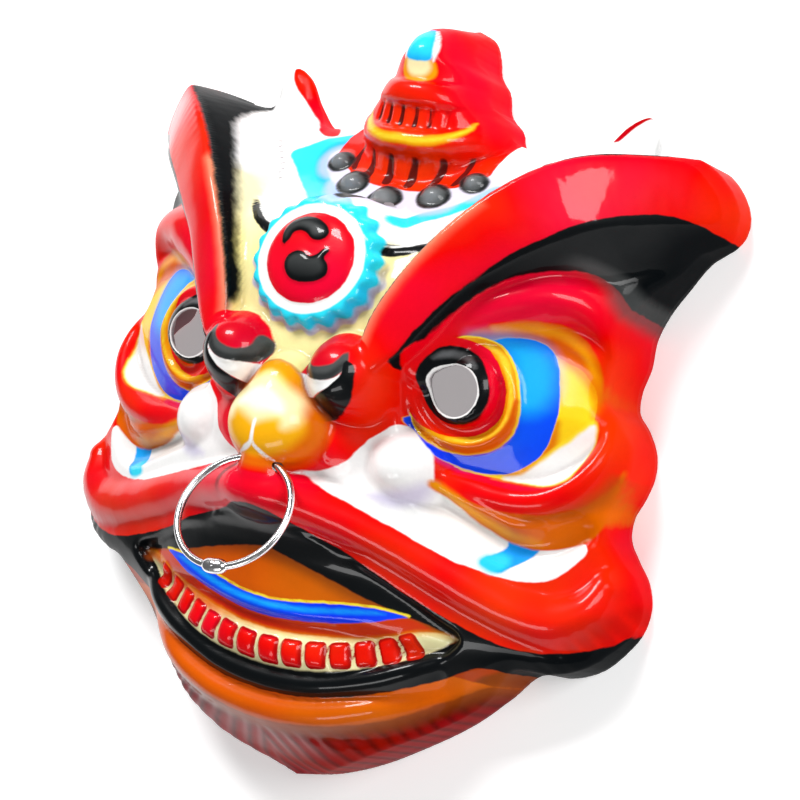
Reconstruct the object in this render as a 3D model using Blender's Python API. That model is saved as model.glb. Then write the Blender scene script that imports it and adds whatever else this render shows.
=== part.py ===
"""Lion dance face mask in formed plastic, lying on its back, with a split wire ring through the nose.

Metres. +Z points out of the face, +Y to the horn on top and +X to the right of a viewer who faces it.
The flat rim lies on z = 0, and the middle of the mask is at x = 0, y = 0.

The relief is drawn once, in millimetres, on a face of DRAWN_SIZE, and every drawn place is scaled to
the face sizes below. Drawn places count y from the tip of the nose and x from the middle line.
The shell is the drawn form less the same form sunk by the wall, so the wall is even everywhere.
"""
import math

import bmesh
import bpy
import numpy as np
from mathutils import Vector

MM = 0.001

# Face
FACE_WIDTH = 250.0 * MM
FACE_LENGTH = 289.0 * MM
FACE_DEPTH = 90.0 * MM
WALL = 1.2 * MM
EDGE_ROUNDING = 6.0 * MM
WALL_DRAFT = 0.04

# Eyes
PUPIL_HOLE_RADIUS = 8.9 * MM
PUPIL_HOLE_SIDES = 40
PUPIL_HOLE_FROM = 10.0 * MM

# Jaw: share by which its form is narrower than the cheeks, and where it starts and ends to narrow
JAW_NARROWING = 0.45
JAW_NARROWS = (-58.0, -88.0)

# Teeth
TOOTH_PAIRS = 7
TOOTH_HEIGHT = 2.2 * MM

# Horn
FLUTE_DEPTH = 1.5 * MM

# Fluted tiers of the horn: foot and top along the horn, angle between flutes and reach to each side
HORN_TIERS = [(91, 105, 0.33, 34), (113, 123, 0.19, 18)]

# Frill around the forehead button
FRILL_SCALLOPS = 20

# Nose ring
RING_RADIUS = 21.4 * MM
WIRE_RADIUS = 1.3 * MM
WIRE_CLEARANCE = 0.6 * MM
WIRE_HOLE_ARC = math.radians(14.0)
WIRE_HOLE_STEPS = 15
RING_SWING = math.radians(23.0)
KNUCKLE_RADIUS = 2.7 * MM
KNUCKLE_LENGTH = 9.0 * MM
KNUCKLE_TURN = math.radians(171.0)

# How far the shell and its hollow reach below the rim before they are cut off on it
SHELL_FLOOR = -3.0 * MM
HOLLOW_FLOOR = -5.0 * MM

# Fineness of the facets
GRID = 1.25 * MM
OUTER_FACETS = 4700
INNER_FACETS = 2900
RING_STEPS = 56
WIRE_SIDES = 8

# The drawing
DRAWN_SIZE = (250.0, 289.0, 90.0)
EYE_CENTRE = (57.3, 22.4)
NOSE_HOLE = (7.9, -17.3, 78.8)
BUTTON_CENTRE_Y = 56.0
BUTTON_OVAL = (1.05, 0.97)
EAR_LEVEL = 3.4

# Edge of the right half, from the chin to the top of the horn: x, y
CHIN_EDGE = [(0, -128.5), (16, -124), (31, -117), (50, -104.5), (67.5, -90.5), (79, -78), (88, -67.5)]
LIP_EDGE = [(100, -65.5), (110, -60.5), (117.5, -52), (122, -43.5), (122.8, -35), (119.5, -26),
            (113.5, -19)]
LOBE_EDGE = [(109.2, -13), (108.3, -6), (110.8, 2), (112.3, 10), (111, 18), (106, 26), (100.8, 31.5)]
SIDE_EDGE = [(99.8, 38), (101.2, 48), (100.8, 58), (103.5, 68), (108.5, 78), (114, 88)]
BROW_EDGE = [(123.6, 97.6), (124.6, 100), (114.6, 119.6), (112.6, 120.8), (99, 121.3), (87, 119)]
EAR_EDGE = [(84.5, 121), (83.2, 131), (78, 137), (72.5, 134.5), (63, 123), (53, 114.5), (45, 114.5)]
HORN_EDGE = [(36, 118), (30.3, 119.5), (28, 124.5), (21.5, 130), (18.3, 138.5), (13, 144.5), (10.8, 151),
             (6.8, 157.5), (0, 160.5)]

# Brow slab: x, y, height, half width, slope of the outer flank, tilt across
BROW = [(33, 27, 79, 5.5, 4.0, 0.05), (36.3, 34, 78.5, 7.5, 4.0, 0.25),
        (42.8, 47.5, 77.5, 8.8, 4.0, 0.35),
        (51.4, 63, 75, 9.3, 3.0, 0.4), (60.5, 74.5, 71.5, 10.6, 2.4, 0.42),
        (70, 85, 66.5, 11.6, 2.0, 0.4),
        (86.5, 98.5, 55, 12.3, 1.7, 0.3), (103, 106, 37, 11.8, 1.6, 0.2), (124, 113, 12, 11.2, 1.5, 0.1)]

# Opening between the lids: x, y
LID_OPENING = [(43, 6), (50, -1), (60, -4), (72, -4), (84, -4.5), (94, 0), (100.5, 9), (102, 20),
               (100, 33),
               (95, 41), (84, 45), (73, 45), (62, 42.5), (51, 36), (43.5, 24), (41, 14)]

# Rolls: x, y, height, half width, drop at the half width
UPPER_LID = [(43, 27, 68, 6, 5), (50, 41, 66, 6, 5), (60, 51, 63.5, 7, 6), (70, 57.5, 60, 8, 7),
             (80, 61, 55, 9, 8), (89, 60, 48.5, 9, 9), (96, 55, 41, 8, 9), (100.5, 47, 34, 6, 8),
             (102.5, 38, 29, 5, 7)]
LOWER_LID = [(48, -5, 52, 5, 4), (58, -8, 50.5, 5.2, 4.5), (69, -9.2, 48.5, 5.6, 5),
             (80, -9.3, 46, 6.3, 6),
             (90, -6.5, 43, 7, 7), (98.5, 0.5, 39.5, 7, 8), (103.5, 10, 35.5, 6.5, 9),
             (104.5, 20, 31, 6, 9),
             (103.5, 31, 28, 6, 8), (103, 41, 28, 6, 8)]
CHEEK_HOLLOW = [(50, -14, 5, 5, 5), (62, -18.5, 7, 5, 7), (72, -22, 8, 6, 8), (83, -25, 8, 7, 8),
                (93, -22, 6, 7, 6), (101, -14, 4, 6, 4)]
SIDE_LOBE = [(104, 24, 24, 5, 8), (108.5, 14, 27, 5, 8), (108, 4, 27, 5, 8), (104, -4, 26, 5, 8)]
UPPER_LIP = [(0, -26.5, 84.2, 7.5, 5), (7, -26.7, 82.7, 7.7, 5), (16, -27.5, 77.8, 8, 5.5),
             (27, -29.2, 71.5, 8.5, 6), (38, -31.9, 65, 9, 6.5), (50, -35.3, 58.8, 9.5, 7),
             (62, -39.2, 53, 10, 7.5),
             (75, -43.5, 46.5, 11, 8.5), (88, -46.5, 40.5, 12, 10), (99, -46, 35.5, 13, 11),
             (108, -40, 30.5, 12, 11), (112, -31, 25.5, 10, 11)]
LIP_UNDERCUT = 1.35
SEPTUM = [(0, -10, 84.8, 8, 5), (0, -17, 84, 8, 5), (0, -22, 84, 8.5, 4.5)]
GUM_ROLL = [(-8, -66, 57.3, 3, 3), (8, -66, 57.3, 3, 3), (22, -64.5, 54.5, 3, 3), (38, -61.5, 50, 2.8, 3),
            (51.5, -58, 43, 2, 3)]
JAW_ROLL = [(-8, -91.8, 48.5, 5.5, 5), (8, -91.6, 48.5, 5.5, 5), (20, -90, 47.8, 5.3, 5),
            (33, -86.3, 46.4, 5, 5), (46, -80.9, 44.8, 5, 5), (56.5, -74.8, 41.4, 4.8, 5),
            (65, -68.6, 35, 4.6, 5),
            (74, -61.5, 27, 4.5, 5)]
CHIN_ROLL = [(-8, -102, 46, 6, 5), (8, -102, 46, 6, 5), (25, -99.3, 45.3, 6, 5), (45, -91.5, 40.8, 6, 6),
             (57, -84.5, 32.5, 5.8, 6), (68, -76, 23, 5.5, 6), (78, -67.5, 15, 5, 6)]

# Mouth, right half: x, y
MOUTH = [(0, -33.5), (20, -37.5), (35, -43.5), (50, -50), (62, -55.5), (71, -60.5), (67, -66),
         (58, -72.5),
         (46, -79), (32, -85), (16, -88.5), (0, -90)]
MOUTH_ALONG = [(-92, 44), (-88, 46.5), (-84, 50.5), (-80, 52), (-75, 51.5), (-70, 51.5), (-63, 57),
               (-56, 59),
               (-48, 61), (-42, 65), (-36, 70)]
TOOTH_ROW = (-81.5, 14.0, 54.7)

# Stations across and along the face: place, height or share of the height
FACE_ACROSS = [(0, 64), (20, 63.5), (38, 60), (46, 56), (58, 50), (70, 45), (80, 41), (90, 36), (100, 30),
               (108, 24), (116, 18), (125, 11)]
FACE_ALONG = [(-130, 0.08), (-118, 0.4), (-107, 0.6), (-97, 0.62), (-88, 0.66), (-65, 0.86), (-30, 1),
              (40, 1.08), (60, 1.06), (72, 1), (85, 0.78), (98, 0.74), (108, 0.7), (116, 0.6), (161, 0.2)]
FOREHEAD_ALONG = [(10, 72), (30, 73), (48, 72.5), (64, 68.5), (74, 59), (84, 42.5), (91, 36),
                  (98, 31), (108, 24), (116, 15), (125, 9), (161, 4)]
HORN_ALONG = [(88, 20), (92, 29.5), (96, 33.5), (103, 36), (105.5, 40), (109, 41.5), (112, 40.6),
              (114, 38), (121, 38.8), (123.5, 42), (127, 43), (130, 42), (131.8, 38.8), (135, 39.6),
              (142, 43), (146, 41.4), (150, 37), (154, 28), (158, 12), (162, 0)]
HORN_HALF_WIDTH = [(86, 25), (92, 28.5), (98, 30.5), (104, 32), (112, 32), (119, 31.6), (123, 29.5),
                   (127, 25.5), (131, 23), (136, 21.5), (139, 19.5), (142, 15.5), (146, 14), (152, 12),
                   (158, 8), (162, 2)]

# Domes: x, y, radius across, radius along, top, drop at the radius, fullness
CHEEK = (41.5, -6.5, 14.5, 14.0, 67, 13, 2.3)
NOSTRIL = (14, -4, 22, 17, 72, 12, 2.5)
NOSE_BALL = (0, -3, 20.5, 18, 87.6, 16, 3.4)
NOSE_BRIDGE = (0, 9.5, 13.5, 14, 86, 14, 2.6)
BROW_CURL = (22.6, 19, 14, 14.2, 87, 12, 2.8)
FLUFF = [(0, 85.8, 7.5, 6, 44.5, 7, 2.4), (17.5, 90.4, 7, 5.6, 40, 7, 2.4),
         (29, 98.6, 6, 4.8, 33.5, 7, 2.4)]

SHELL_COLOUR = (0.72, 0.02, 0.02, 1.0)
RING_COLOUR = (0.75, 0.75, 0.77, 1.0)


def smooth_max(a, b, blend):
    """Larger of two heights, rounded where they cross."""
    share = np.clip(0.5 + 0.5 * (a - b) / blend, 0.0, 1.0)
    return b + (a - b) * share + blend * share * (1.0 - share)


def ease(start, end, value):
    """Share from 0 at the start to 1 at the end, with soft ends."""
    t = np.clip((value - start) / (end - start), 0.0, 1.0)
    return t * t * (3.0 - 2.0 * t)


def stations(table, value):
    """Height at a place between stations, without overshoot."""
    place, level = np.array(table, float).T
    gap = np.diff(place)
    slope = np.diff(level) / gap
    tangent = np.zeros(len(place))
    same = slope[:-1] * slope[1:] > 0
    first, second = slope[:-1][same], slope[1:][same]
    before, after = gap[:-1][same], gap[1:][same]
    weight = (2 * after + before) / first + (after + 2 * before) / second
    tangent[1:-1][same] = 3 * (before + after) / weight
    value = np.clip(value, place[0], place[-1])
    i = np.clip(np.searchsorted(place, value, side="right") - 1, 0, len(gap) - 1)
    t = (value - place[i]) / gap[i]
    start = (2 * t ** 3 - 3 * t ** 2 + 1) * level[i] + (t ** 3 - 2 * t ** 2 + t) * gap[i] * tangent[i]
    end = (3 * t ** 2 - 2 * t ** 3) * level[i + 1] + (t ** 3 - t ** 2) * gap[i] * tangent[i + 1]
    return start + end


def spline(rows, steps, closed=False):
    """Smooth path through the rows, with every column carried along."""
    points = np.array(rows, float)
    if closed:
        points = np.vstack([points[-1:], points, points[:2]])
    else:
        points = np.vstack([2 * points[0] - points[1], points, 2 * points[-1] - points[-2]])
    chord = np.maximum(np.hypot(*np.diff(points[:, :2], axis=0).T), 1e-6)[:, None]
    slope = np.diff(points, axis=0) / chord
    tangent = (slope[:-1] * chord[1:] + slope[1:] * chord[:-1]) / (chord[:-1] + chord[1:])
    path = []
    for i in range(len(points) - 3):
        a, b, length = points[i + 1], points[i + 2], chord[i + 1]
        for t in np.arange(steps) / steps:
            path.append((2 * t ** 3 - 3 * t ** 2 + 1) * a + (t ** 3 - 2 * t ** 2 + t) * length * tangent[i]
                        + (3 * t ** 2 - 2 * t ** 3) * b + (t ** 3 - t ** 2) * length * tangent[i + 1])
    if not closed:
        path.append(points[-2])
    return np.array(path)


def nearest(x, y, path):
    """Distance to a path, the side of it (+1 left of its run) and its other columns at that place."""
    best = np.full(x.shape, 1e9)
    side = np.ones(x.shape)
    columns = np.zeros(x.shape + (path.shape[1] - 2,))
    for a, b in zip(path[:-1], path[1:]):
        run = b[:2] - a[:2]
        length = run @ run
        if length < 1e-12:
            continue
        t = np.clip(((x - a[0]) * run[0] + (y - a[1]) * run[1]) / length, 0.0, 1.0)
        distance = np.hypot(x - a[0] - t * run[0], y - a[1] - t * run[1])
        nearer = distance < best
        best = np.where(nearer, distance, best)
        side = np.where(nearer, np.sign(run[0] * (y - a[1]) - run[1] * (x - a[0])), side)
        columns[nearer] = a[2:] + t[nearer][:, None] * (b[2:] - a[2:])
    return best, side, columns


def inside(x, y, ring):
    """Whether places are within a closed outline."""
    odd = np.zeros(x.shape, bool)
    for a, b in zip(ring, np.roll(ring, -1, axis=0)):
        if a[1] == b[1]:
            continue
        across = a[0] + (y - a[1]) * (b[0] - a[0]) / (b[1] - a[1])
        odd ^= ((a[1] > y) != (b[1] > y)) & (x < across)
    return odd


def depth_inside(x, y, points):
    """Distance within a smooth closed outline, negative outside."""
    ring = spline(points, 5, closed=True)
    distance, _, _ = nearest(x, y, np.vstack([ring, ring[:1]]))
    return np.where(inside(x, y, ring), distance, -distance)


def roll(x, y, rows, under=1.0):
    """Height of a rounded roll along a path, which may drop more on the right of its run."""
    distance, side, columns = nearest(x, y, spline(rows, 5))
    top, half_width, drop = np.moveaxis(columns, -1, 0)
    drop = drop * np.where(side < 0, under, 1.0)
    reach = distance / half_width
    beyond = np.maximum(2 * drop / half_width, 2.0) * np.maximum(distance - half_width, 0)
    return top - drop * np.minimum(reach, 1) ** 2 - beyond


def dome(x, y, sizes):
    """Height of a rounded dome."""
    centre_x, centre_y, across, along, top, drop, fullness = sizes
    return top - drop * np.hypot((x - centre_x) / across, (y - centre_y) / along) ** fullness


def half_outline():
    """Edge of the right half of the face."""
    return spline(CHIN_EDGE + LIP_EDGE + LOBE_EDGE + SIDE_EDGE + BROW_EDGE + EAR_EDGE + HORN_EDGE, 6)


def edge_distance(x, y):
    """Distance within the edge of the face, negative outside."""
    half = half_outline()
    distance, _, _ = nearest(x, y, half)
    beyond = -40.0
    ring = np.vstack([half, [(beyond, half[-1][1]), (beyond, half[0][1])]])
    return np.where(inside(x, y, ring), distance, -distance)


def face_and_brow(x, y):
    """Broad form of the face, the forehead between the brows and the brow slabs."""
    narrower = 1 + JAW_NARROWING * ease(*JAW_NARROWS, y)
    face = stations(FACE_ACROSS, x * narrower) * stations(FACE_ALONG, y)
    distance, side, columns = nearest(x, y, spline(BROW, 6))
    top, half_width, flank, tilt = np.moveaxis(columns, -1, 0)
    forehead = smooth_max(stations(FOREHEAD_ALONG, y) - 0.0012 * x ** 2, EAR_LEVEL, 2.0)
    share = ease(-1.0, 1.0, side * distance) * ease(12, 24, y)
    face = face * (1 - share) + forehead * share
    across = np.clip(-side * distance, -half_width, half_width)
    crown = 1.4 * (1 - (across / half_width) ** 2)
    fall = np.where(side > 0, 7.0, flank) * np.maximum(distance - half_width, 0.0)
    return smooth_max(face, top - tilt * across + crown - fall, 2.5)


def eye(x, y, z):
    """Eyeball in its lids, with a raised pupil in a gold roll."""
    share = ease(-2.5, 1.0, depth_inside(x, y, LID_OPENING))
    right, up = x - EYE_CENTRE[0], y - EYE_CENTRE[1]
    ball = 57 - 0.35 * right - 0.0055 * (right ** 2 + up ** 2) - 0.25 * np.maximum(0, -up)
    from_centre = np.hypot(x - 59.0, y - 21.8)
    ball = smooth_max(ball, ball + 2.4 - 2.4 * ((from_centre - 17.0) / 2.3) ** 2, 1.0)
    ball = ball - 1.2 * ease(15.5, 14.5, from_centre)
    from_pupil = np.hypot(x - 57.4, y - 24.2) / 13.2
    pupil = 53 + 7 * np.sqrt(np.maximum(1 - from_pupil ** 2, 0))
    ball = np.maximum(ball, np.where(from_pupil < 1, pupil, 0))
    z = z * (1 - share) + ball * share
    z = smooth_max(z, roll(x, y, UPPER_LID), 2.0)
    z = smooth_max(z, roll(x, y, LOWER_LID), 1.5)
    return smooth_max(z, roll(x, y, SIDE_LOBE), 2.0)


def nose(x, y, z):
    """Cheek puffs, nostrils, nose ball and the curls at the foot of the brows."""
    z = z - np.maximum(roll(x, y, CHEEK_HOLLOW), 0)
    z = smooth_max(z, dome(x, y, CHEEK), 2.0)
    z = smooth_max(z, dome(x, y, NOSTRIL), 3.0)
    z = smooth_max(z, smooth_max(dome(x, y, NOSE_BALL), dome(x, y, NOSE_BRIDGE), 7.0), 1.5)
    return smooth_max(z, dome(x, y, BROW_CURL), 1.5)


def teeth(x, y):
    """Rounded teeth along the gum."""
    middle, rise, reach = TOOTH_ROW
    total = np.zeros(x.shape)
    for pair in range(TOOTH_PAIRS):
        place = (pair + 0.5) / TOOTH_PAIRS
        tooth_x = (69 - 11 * place) * place
        tooth_y = middle + rise * (tooth_x / reach) ** 2
        turn = math.atan2(2 * rise * tooth_x, reach ** 2)
        along = (x - tooth_x) * math.cos(turn) + (y - tooth_y) * math.sin(turn)
        up = (y - tooth_y) * math.cos(turn) - (x - tooth_x) * math.sin(turn)
        half_width = (4.0 - 1.1 * place) * 7 / TOOTH_PAIRS
        out = np.maximum(np.abs(along) - half_width, np.abs(up) - (4.9 - 0.7 * place))
        total = total + TOOTH_HEIGHT / MM * ease(0.5, -1.3, out)
    return total


def mouth(x, y, z):
    """Open mouth with its lips, gum, teeth and the rolls of the jaw."""
    ring = MOUTH + [(-a, b) for a, b in MOUTH[-2:0:-1]]
    share = ease(-1.5, 1.5, depth_inside(x, y, ring))
    z = z * (1 - share) + (stations(MOUTH_ALONG, y) - 0.0052 * x ** 2) * share
    z = smooth_max(z, roll(x, y, UPPER_LIP, LIP_UNDERCUT), 2.0)
    z = smooth_max(z, roll(x, y, SEPTUM), 1.0)
    z = smooth_max(z, roll(x, y, GUM_ROLL), 1.0)
    z = z + teeth(x, y)
    z = smooth_max(z, roll(x, y, JAW_ROLL), 1.5)
    return smooth_max(z, roll(x, y, CHIN_ROLL), 1.5)


def button(x, y, z):
    """Round forehead button in a scalloped frill."""
    right, up = x / BUTTON_OVAL[0], (y - BUTTON_CENTRE_Y) / BUTTON_OVAL[1]
    radius = np.hypot(right, up)
    level = 76.5 - 0.10 * (y - BUTTON_CENTRE_Y)
    scallop = radius + 0.9 * np.cos(FRILL_SCALLOPS * np.arctan2(right, up))
    frill = level + 1.2 - 0.12 * np.maximum(radius - 21, 0) ** 2 - 6.0 * ease(22.0, 26.5, scallop)
    z = np.where(radius < 28, smooth_max(z, frill, 0.8), z)
    knob = level + 1.0 + 4.5 * np.sqrt(np.maximum(1 - (radius / 17.0) ** 2, 0))
    return np.where(radius < 17, np.maximum(z, knob), z)


def horn(x, y, z):
    """Horn in three fluted tiers, with balls of fluff at its foot."""
    sag = y - 9.0 * np.clip(x / 30, 0, 1.1) ** 2.5
    half_width = stations(HORN_HALF_WIDTH, y)
    body = stations(HORN_ALONG, sag) * np.maximum(1 - (x / half_width) ** 2.1, 0) ** (1 / 2.1)
    angle = np.arcsin(np.clip(x / half_width, 0, 1))
    for foot, top, pitch, reach in HORN_TIERS:
        around = angle / pitch + 0.5
        flute = np.maximum(1 - ((around - np.round(around)) / 0.24) ** 2, 0)
        drum = ease(foot, foot + 2, sag) * ease(top, top - 2, sag) * ease(reach, reach - 4, x)
        body = body - FLUTE_DEPTH / MM * flute * drum
    body = body - 30 * ease(95, 88, y)
    z = np.where((y > 84) & (x < half_width + 2), smooth_max(z, body, 1.5), z)
    for ball in FLUFF:
        z = smooth_max(z, np.maximum(dome(x, y, ball), -9.0), 1.0)
    return z


def drawn_height(x, y):
    """Height of the drawn relief over a drawn place, rounded off toward the edge."""
    x = np.abs(x)
    z = face_and_brow(x, y)
    z = eye(x, y, z)
    z = nose(x, y, z)
    z = mouth(x, y, z)
    z = button(x, y, z)
    z = horn(x, y, z)
    edge = edge_distance(x, y)
    rounding = EDGE_ROUNDING / MM
    short = np.clip(1 - edge / rounding, 0.0, 1.0)
    drop = np.minimum(0.75 * rounding, 0.5 * np.maximum(z, 0.0))
    return z - drop * short ** 2.5, edge


def scales():
    """Real size of a drawn millimetre across, along and out of the face."""
    return FACE_WIDTH / DRAWN_SIZE[0], FACE_LENGTH / DRAWN_SIZE[1], FACE_DEPTH / DRAWN_SIZE[2]


def drawn_middle():
    """Drawn place of the middle of the face along its length."""
    return CHIN_EDGE[0][1] + DRAWN_SIZE[1] / 2


def placed(x, y, z):
    """Real place of a drawn place."""
    across, along, out = scales()
    return Vector((x * across, (y - drawn_middle()) * along, z * out))


def form_grid():
    """Real places of a square grid over the face, with their height and their distance within the edge."""
    across, along, out = scales()
    columns = int(math.ceil((FACE_WIDTH / 2 + 4 * GRID) / GRID))
    rows = int(math.ceil((FACE_LENGTH / 2 + 4 * GRID) / GRID))
    x, y = np.meshgrid(np.arange(columns + 1) * GRID, np.arange(-rows, rows + 1) * GRID)
    height, edge = drawn_height(x / across, y / along + drawn_middle())
    height, edge = height * out, edge * 0.5 * (across + along)
    x = np.hstack([-x[:, :0:-1], x])
    y = np.hstack([y[:, :0:-1], y])
    return x, y, np.hstack([height[:, :0:-1], height]), np.hstack([edge[:, :0:-1], edge])


def sunk(height, wall):
    """The same form lowered by a wall of even thickness."""
    rows, columns = height.shape
    around = np.pad(height, 1, mode="edge")
    steepest = np.zeros(height.shape)
    lowest = height.copy()
    for i, j in ((-1, -1), (-1, 0), (-1, 1), (0, -1), (0, 1), (1, -1), (1, 0), (1, 1)):
        other = around[1 + i:1 + i + rows, 1 + j:1 + j + columns]
        steepest = np.maximum(steepest, (height - other) / (GRID * math.hypot(i, j)))
        lowest = np.minimum(lowest, other)
    return np.maximum(height - wall * np.sqrt(1 + steepest ** 2), lowest - wall)


def cut_grid(x, y, z, within):
    """Points and faces of the part of a grid where the given distance is positive, with a crisp edge."""
    slope_y, slope_x = np.gradient(within, GRID)
    fall_y, fall_x = np.gradient(z, GRID)
    snap = np.abs(within) < 0.3 * GRID
    move_x = np.where(snap, -within * slope_x, 0.0)
    move_y = np.where(snap, -within * slope_y, 0.0)
    place = np.stack([x + move_x, y + move_y, z + fall_x * move_x + fall_y * move_y], axis=-1)
    within = np.where(snap, 0.0, within)
    points, faces, known = [], [], {}

    def corner(a):
        """Number of the point at a place of the grid."""
        if a not in known:
            known[a] = len(points)
            points.append(place[a])
        return known[a]

    def crossing(a, b):
        """Number of the point where the edge crosses between two places of the grid."""
        a, b = min(a, b), max(a, b)
        if (a, b) not in known:
            known[a, b] = len(points)
            t = within[a] / (within[a] - within[b])
            points.append(place[a] + t * (place[b] - place[a]))
        return known[a, b]

    for i in range(x.shape[0] - 1):
        for j in np.flatnonzero(np.maximum(within[i, :-1], within[i, 1:])
                                + np.maximum(within[i + 1, :-1], within[i + 1, 1:]) > -GRID):
            cell = [(i, int(j)), (i, int(j) + 1), (i + 1, int(j) + 1), (i + 1, int(j))]
            if max(within[a] for a in cell) <= 0:
                continue
            face = []
            for a, b in zip(cell, cell[1:] + cell[:1]):
                if within[a] >= 0:
                    face.append(corner(a))
                if within[a] * within[b] < 0:
                    face.append(crossing(a, b))
            if len(face) > 2:
                faces.append(face)
    return points, faces


def solid_form(name, x, y, z, within, floor, facets):
    """Closed body from the form down to a flat floor, thinned to about the given number of facets."""
    points, faces = cut_grid(x, y, z, within - WALL_DRAFT * z)
    mesh = bpy.data.meshes.new(name)
    mesh.from_pydata([tuple(point) for point in points], [], faces)
    body = bmesh.new()
    body.from_mesh(mesh)
    edges = [edge for edge in body.edges if edge.is_boundary]
    skirt = bmesh.ops.extrude_edge_only(body, edges=edges)["geom"]
    body.normal_update()
    foot = [vert for vert in skirt if isinstance(vert, bmesh.types.BMVert)]
    rims = [edge for edge in skirt if isinstance(edge, bmesh.types.BMEdge) and edge.is_boundary]
    moves = {}
    for vert in foot:
        out = Vector((0.0, 0.0, 0.0))
        for edge in vert.link_edges:
            if edge.is_boundary:
                run = edge.other_vert(vert).co - vert.co
                face = edge.link_faces[0]
                side = Vector((run.y, -run.x, 0.0))
                top = [v for v in face.verts if v not in foot]
                inner = [v for t in top for f in t.link_faces for v in f.verts if v not in foot]
                middle = sum((v.co for v in inner), Vector()) / len(inner)
                out += side if side.dot(vert.co - middle) > 0 else -side
        moves[vert] = out.normalized() * WALL_DRAFT * (vert.co.z - floor)
    for vert, move in moves.items():
        vert.co = Vector((vert.co.x + move.x, vert.co.y + move.y, floor))
    bmesh.ops.triangle_fill(body, edges=rims, use_beauty=False, use_dissolve=False)
    bmesh.ops.triangulate(body, faces=body.faces[:])
    bmesh.ops.recalc_face_normals(body, faces=body.faces[:])
    body.to_mesh(mesh)
    body.free()
    solid = bpy.data.objects.new(name, mesh)
    bpy.context.scene.collection.objects.link(solid)
    thin = solid.modifiers.new("thin", "DECIMATE")
    thin.ratio = facets / len(mesh.polygons)
    settle(solid)
    return solid


def settle(solid):
    """Turns the modifiers of an object into its mesh."""
    bpy.context.view_layer.update()
    graph = bpy.context.evaluated_depsgraph_get()
    mesh = bpy.data.meshes.new_from_object(solid.evaluated_get(graph))
    solid.modifiers.clear()
    old = solid.data
    solid.data = mesh
    bpy.data.meshes.remove(old)


def cut(solid, cutters):
    """Takes the cutters out of a solid, and removes the cutters."""
    for cutter in cutters:
        cutter.hide_render = True
        cutter.display_type = "WIRE"
        take = solid.modifiers.new("cut", "BOOLEAN")
        take.operation = "DIFFERENCE"
        take.solver = "EXACT"
        take.object = cutter
    settle(solid)
    for cutter in cutters:
        bpy.data.objects.remove(cutter)


def solid_from(name, points, faces):
    """Object with the given points and faces."""
    mesh = bpy.data.meshes.new(name)
    mesh.from_pydata([tuple(point) for point in points], [], faces)
    solid = bpy.data.objects.new(name, mesh)
    bpy.context.scene.collection.objects.link(solid)
    return solid


def prism(name, outline, bottom, top):
    """Upright prism over a closed outline."""
    count = len(outline)
    points = [(a, b, bottom) for a, b in outline] + [(a, b, top) for a, b in outline]
    faces = [[i, (i + 1) % count, (i + 1) % count + count, i + count] for i in range(count)]
    faces.append(list(range(count))[::-1])
    faces.append(list(range(count, 2 * count)))
    return solid_from(name, points, faces)


def ring_frame():
    """Middle of the nose ring, and the direction that it hangs in."""
    across, _, _ = scales()
    hang = Vector((0.0, -math.cos(RING_SWING), math.sin(RING_SWING)))
    hole = placed(*NOSE_HOLE)
    drop = math.sqrt(RING_RADIUS ** 2 - hole.x ** 2)
    return Vector((0.0, hole.y, hole.z)) + drop * hang, hang


def swept_wire(name, turns, radii, closed):
    """Round wire along the circle of the nose ring. Turns count from the top of the ring."""
    middle, hang = ring_frame()
    across = Vector((1.0, 0.0, 0.0))
    axis = across.cross(hang)
    points, faces = [], []
    for turn, radius in zip(map(float, turns), map(float, radii)):
        out = math.sin(turn) * across - math.cos(turn) * hang
        for k in range(WIRE_SIDES):
            angle = 2 * math.pi * (k + 0.5) / WIRE_SIDES
            points.append(middle + RING_RADIUS * out
                          + radius * (math.cos(angle) * out + math.sin(angle) * axis))
    steps = len(points) // WIRE_SIDES
    for i in range(steps if closed else steps - 1):
        for k in range(WIRE_SIDES):
            a, b = i * WIRE_SIDES, (i + 1) % steps * WIRE_SIDES
            faces.append([a + k, a + (k + 1) % WIRE_SIDES, b + (k + 1) % WIRE_SIDES, b + k])
    if not closed:
        faces.append(list(range(WIRE_SIDES))[::-1])
        faces.append(list(range(len(points) - WIRE_SIDES, len(points))))
    wire = solid_from(name, points, faces)
    body = bmesh.new()
    body.from_mesh(wire.data)
    bmesh.ops.recalc_face_normals(body, faces=body.faces[:])
    body.to_mesh(wire.data)
    body.free()
    return wire


def material(name, colour, metallic, roughness):
    """Plain material of one piece."""
    made = bpy.data.materials.new(name)
    made.use_nodes = True
    shader = next(node for node in made.node_tree.nodes if node.type == "BSDF_PRINCIPLED")
    shader.inputs["Base Color"].default_value = colour
    shader.inputs["Metallic"].default_value = metallic
    shader.inputs["Roughness"].default_value = roughness
    return made


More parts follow.
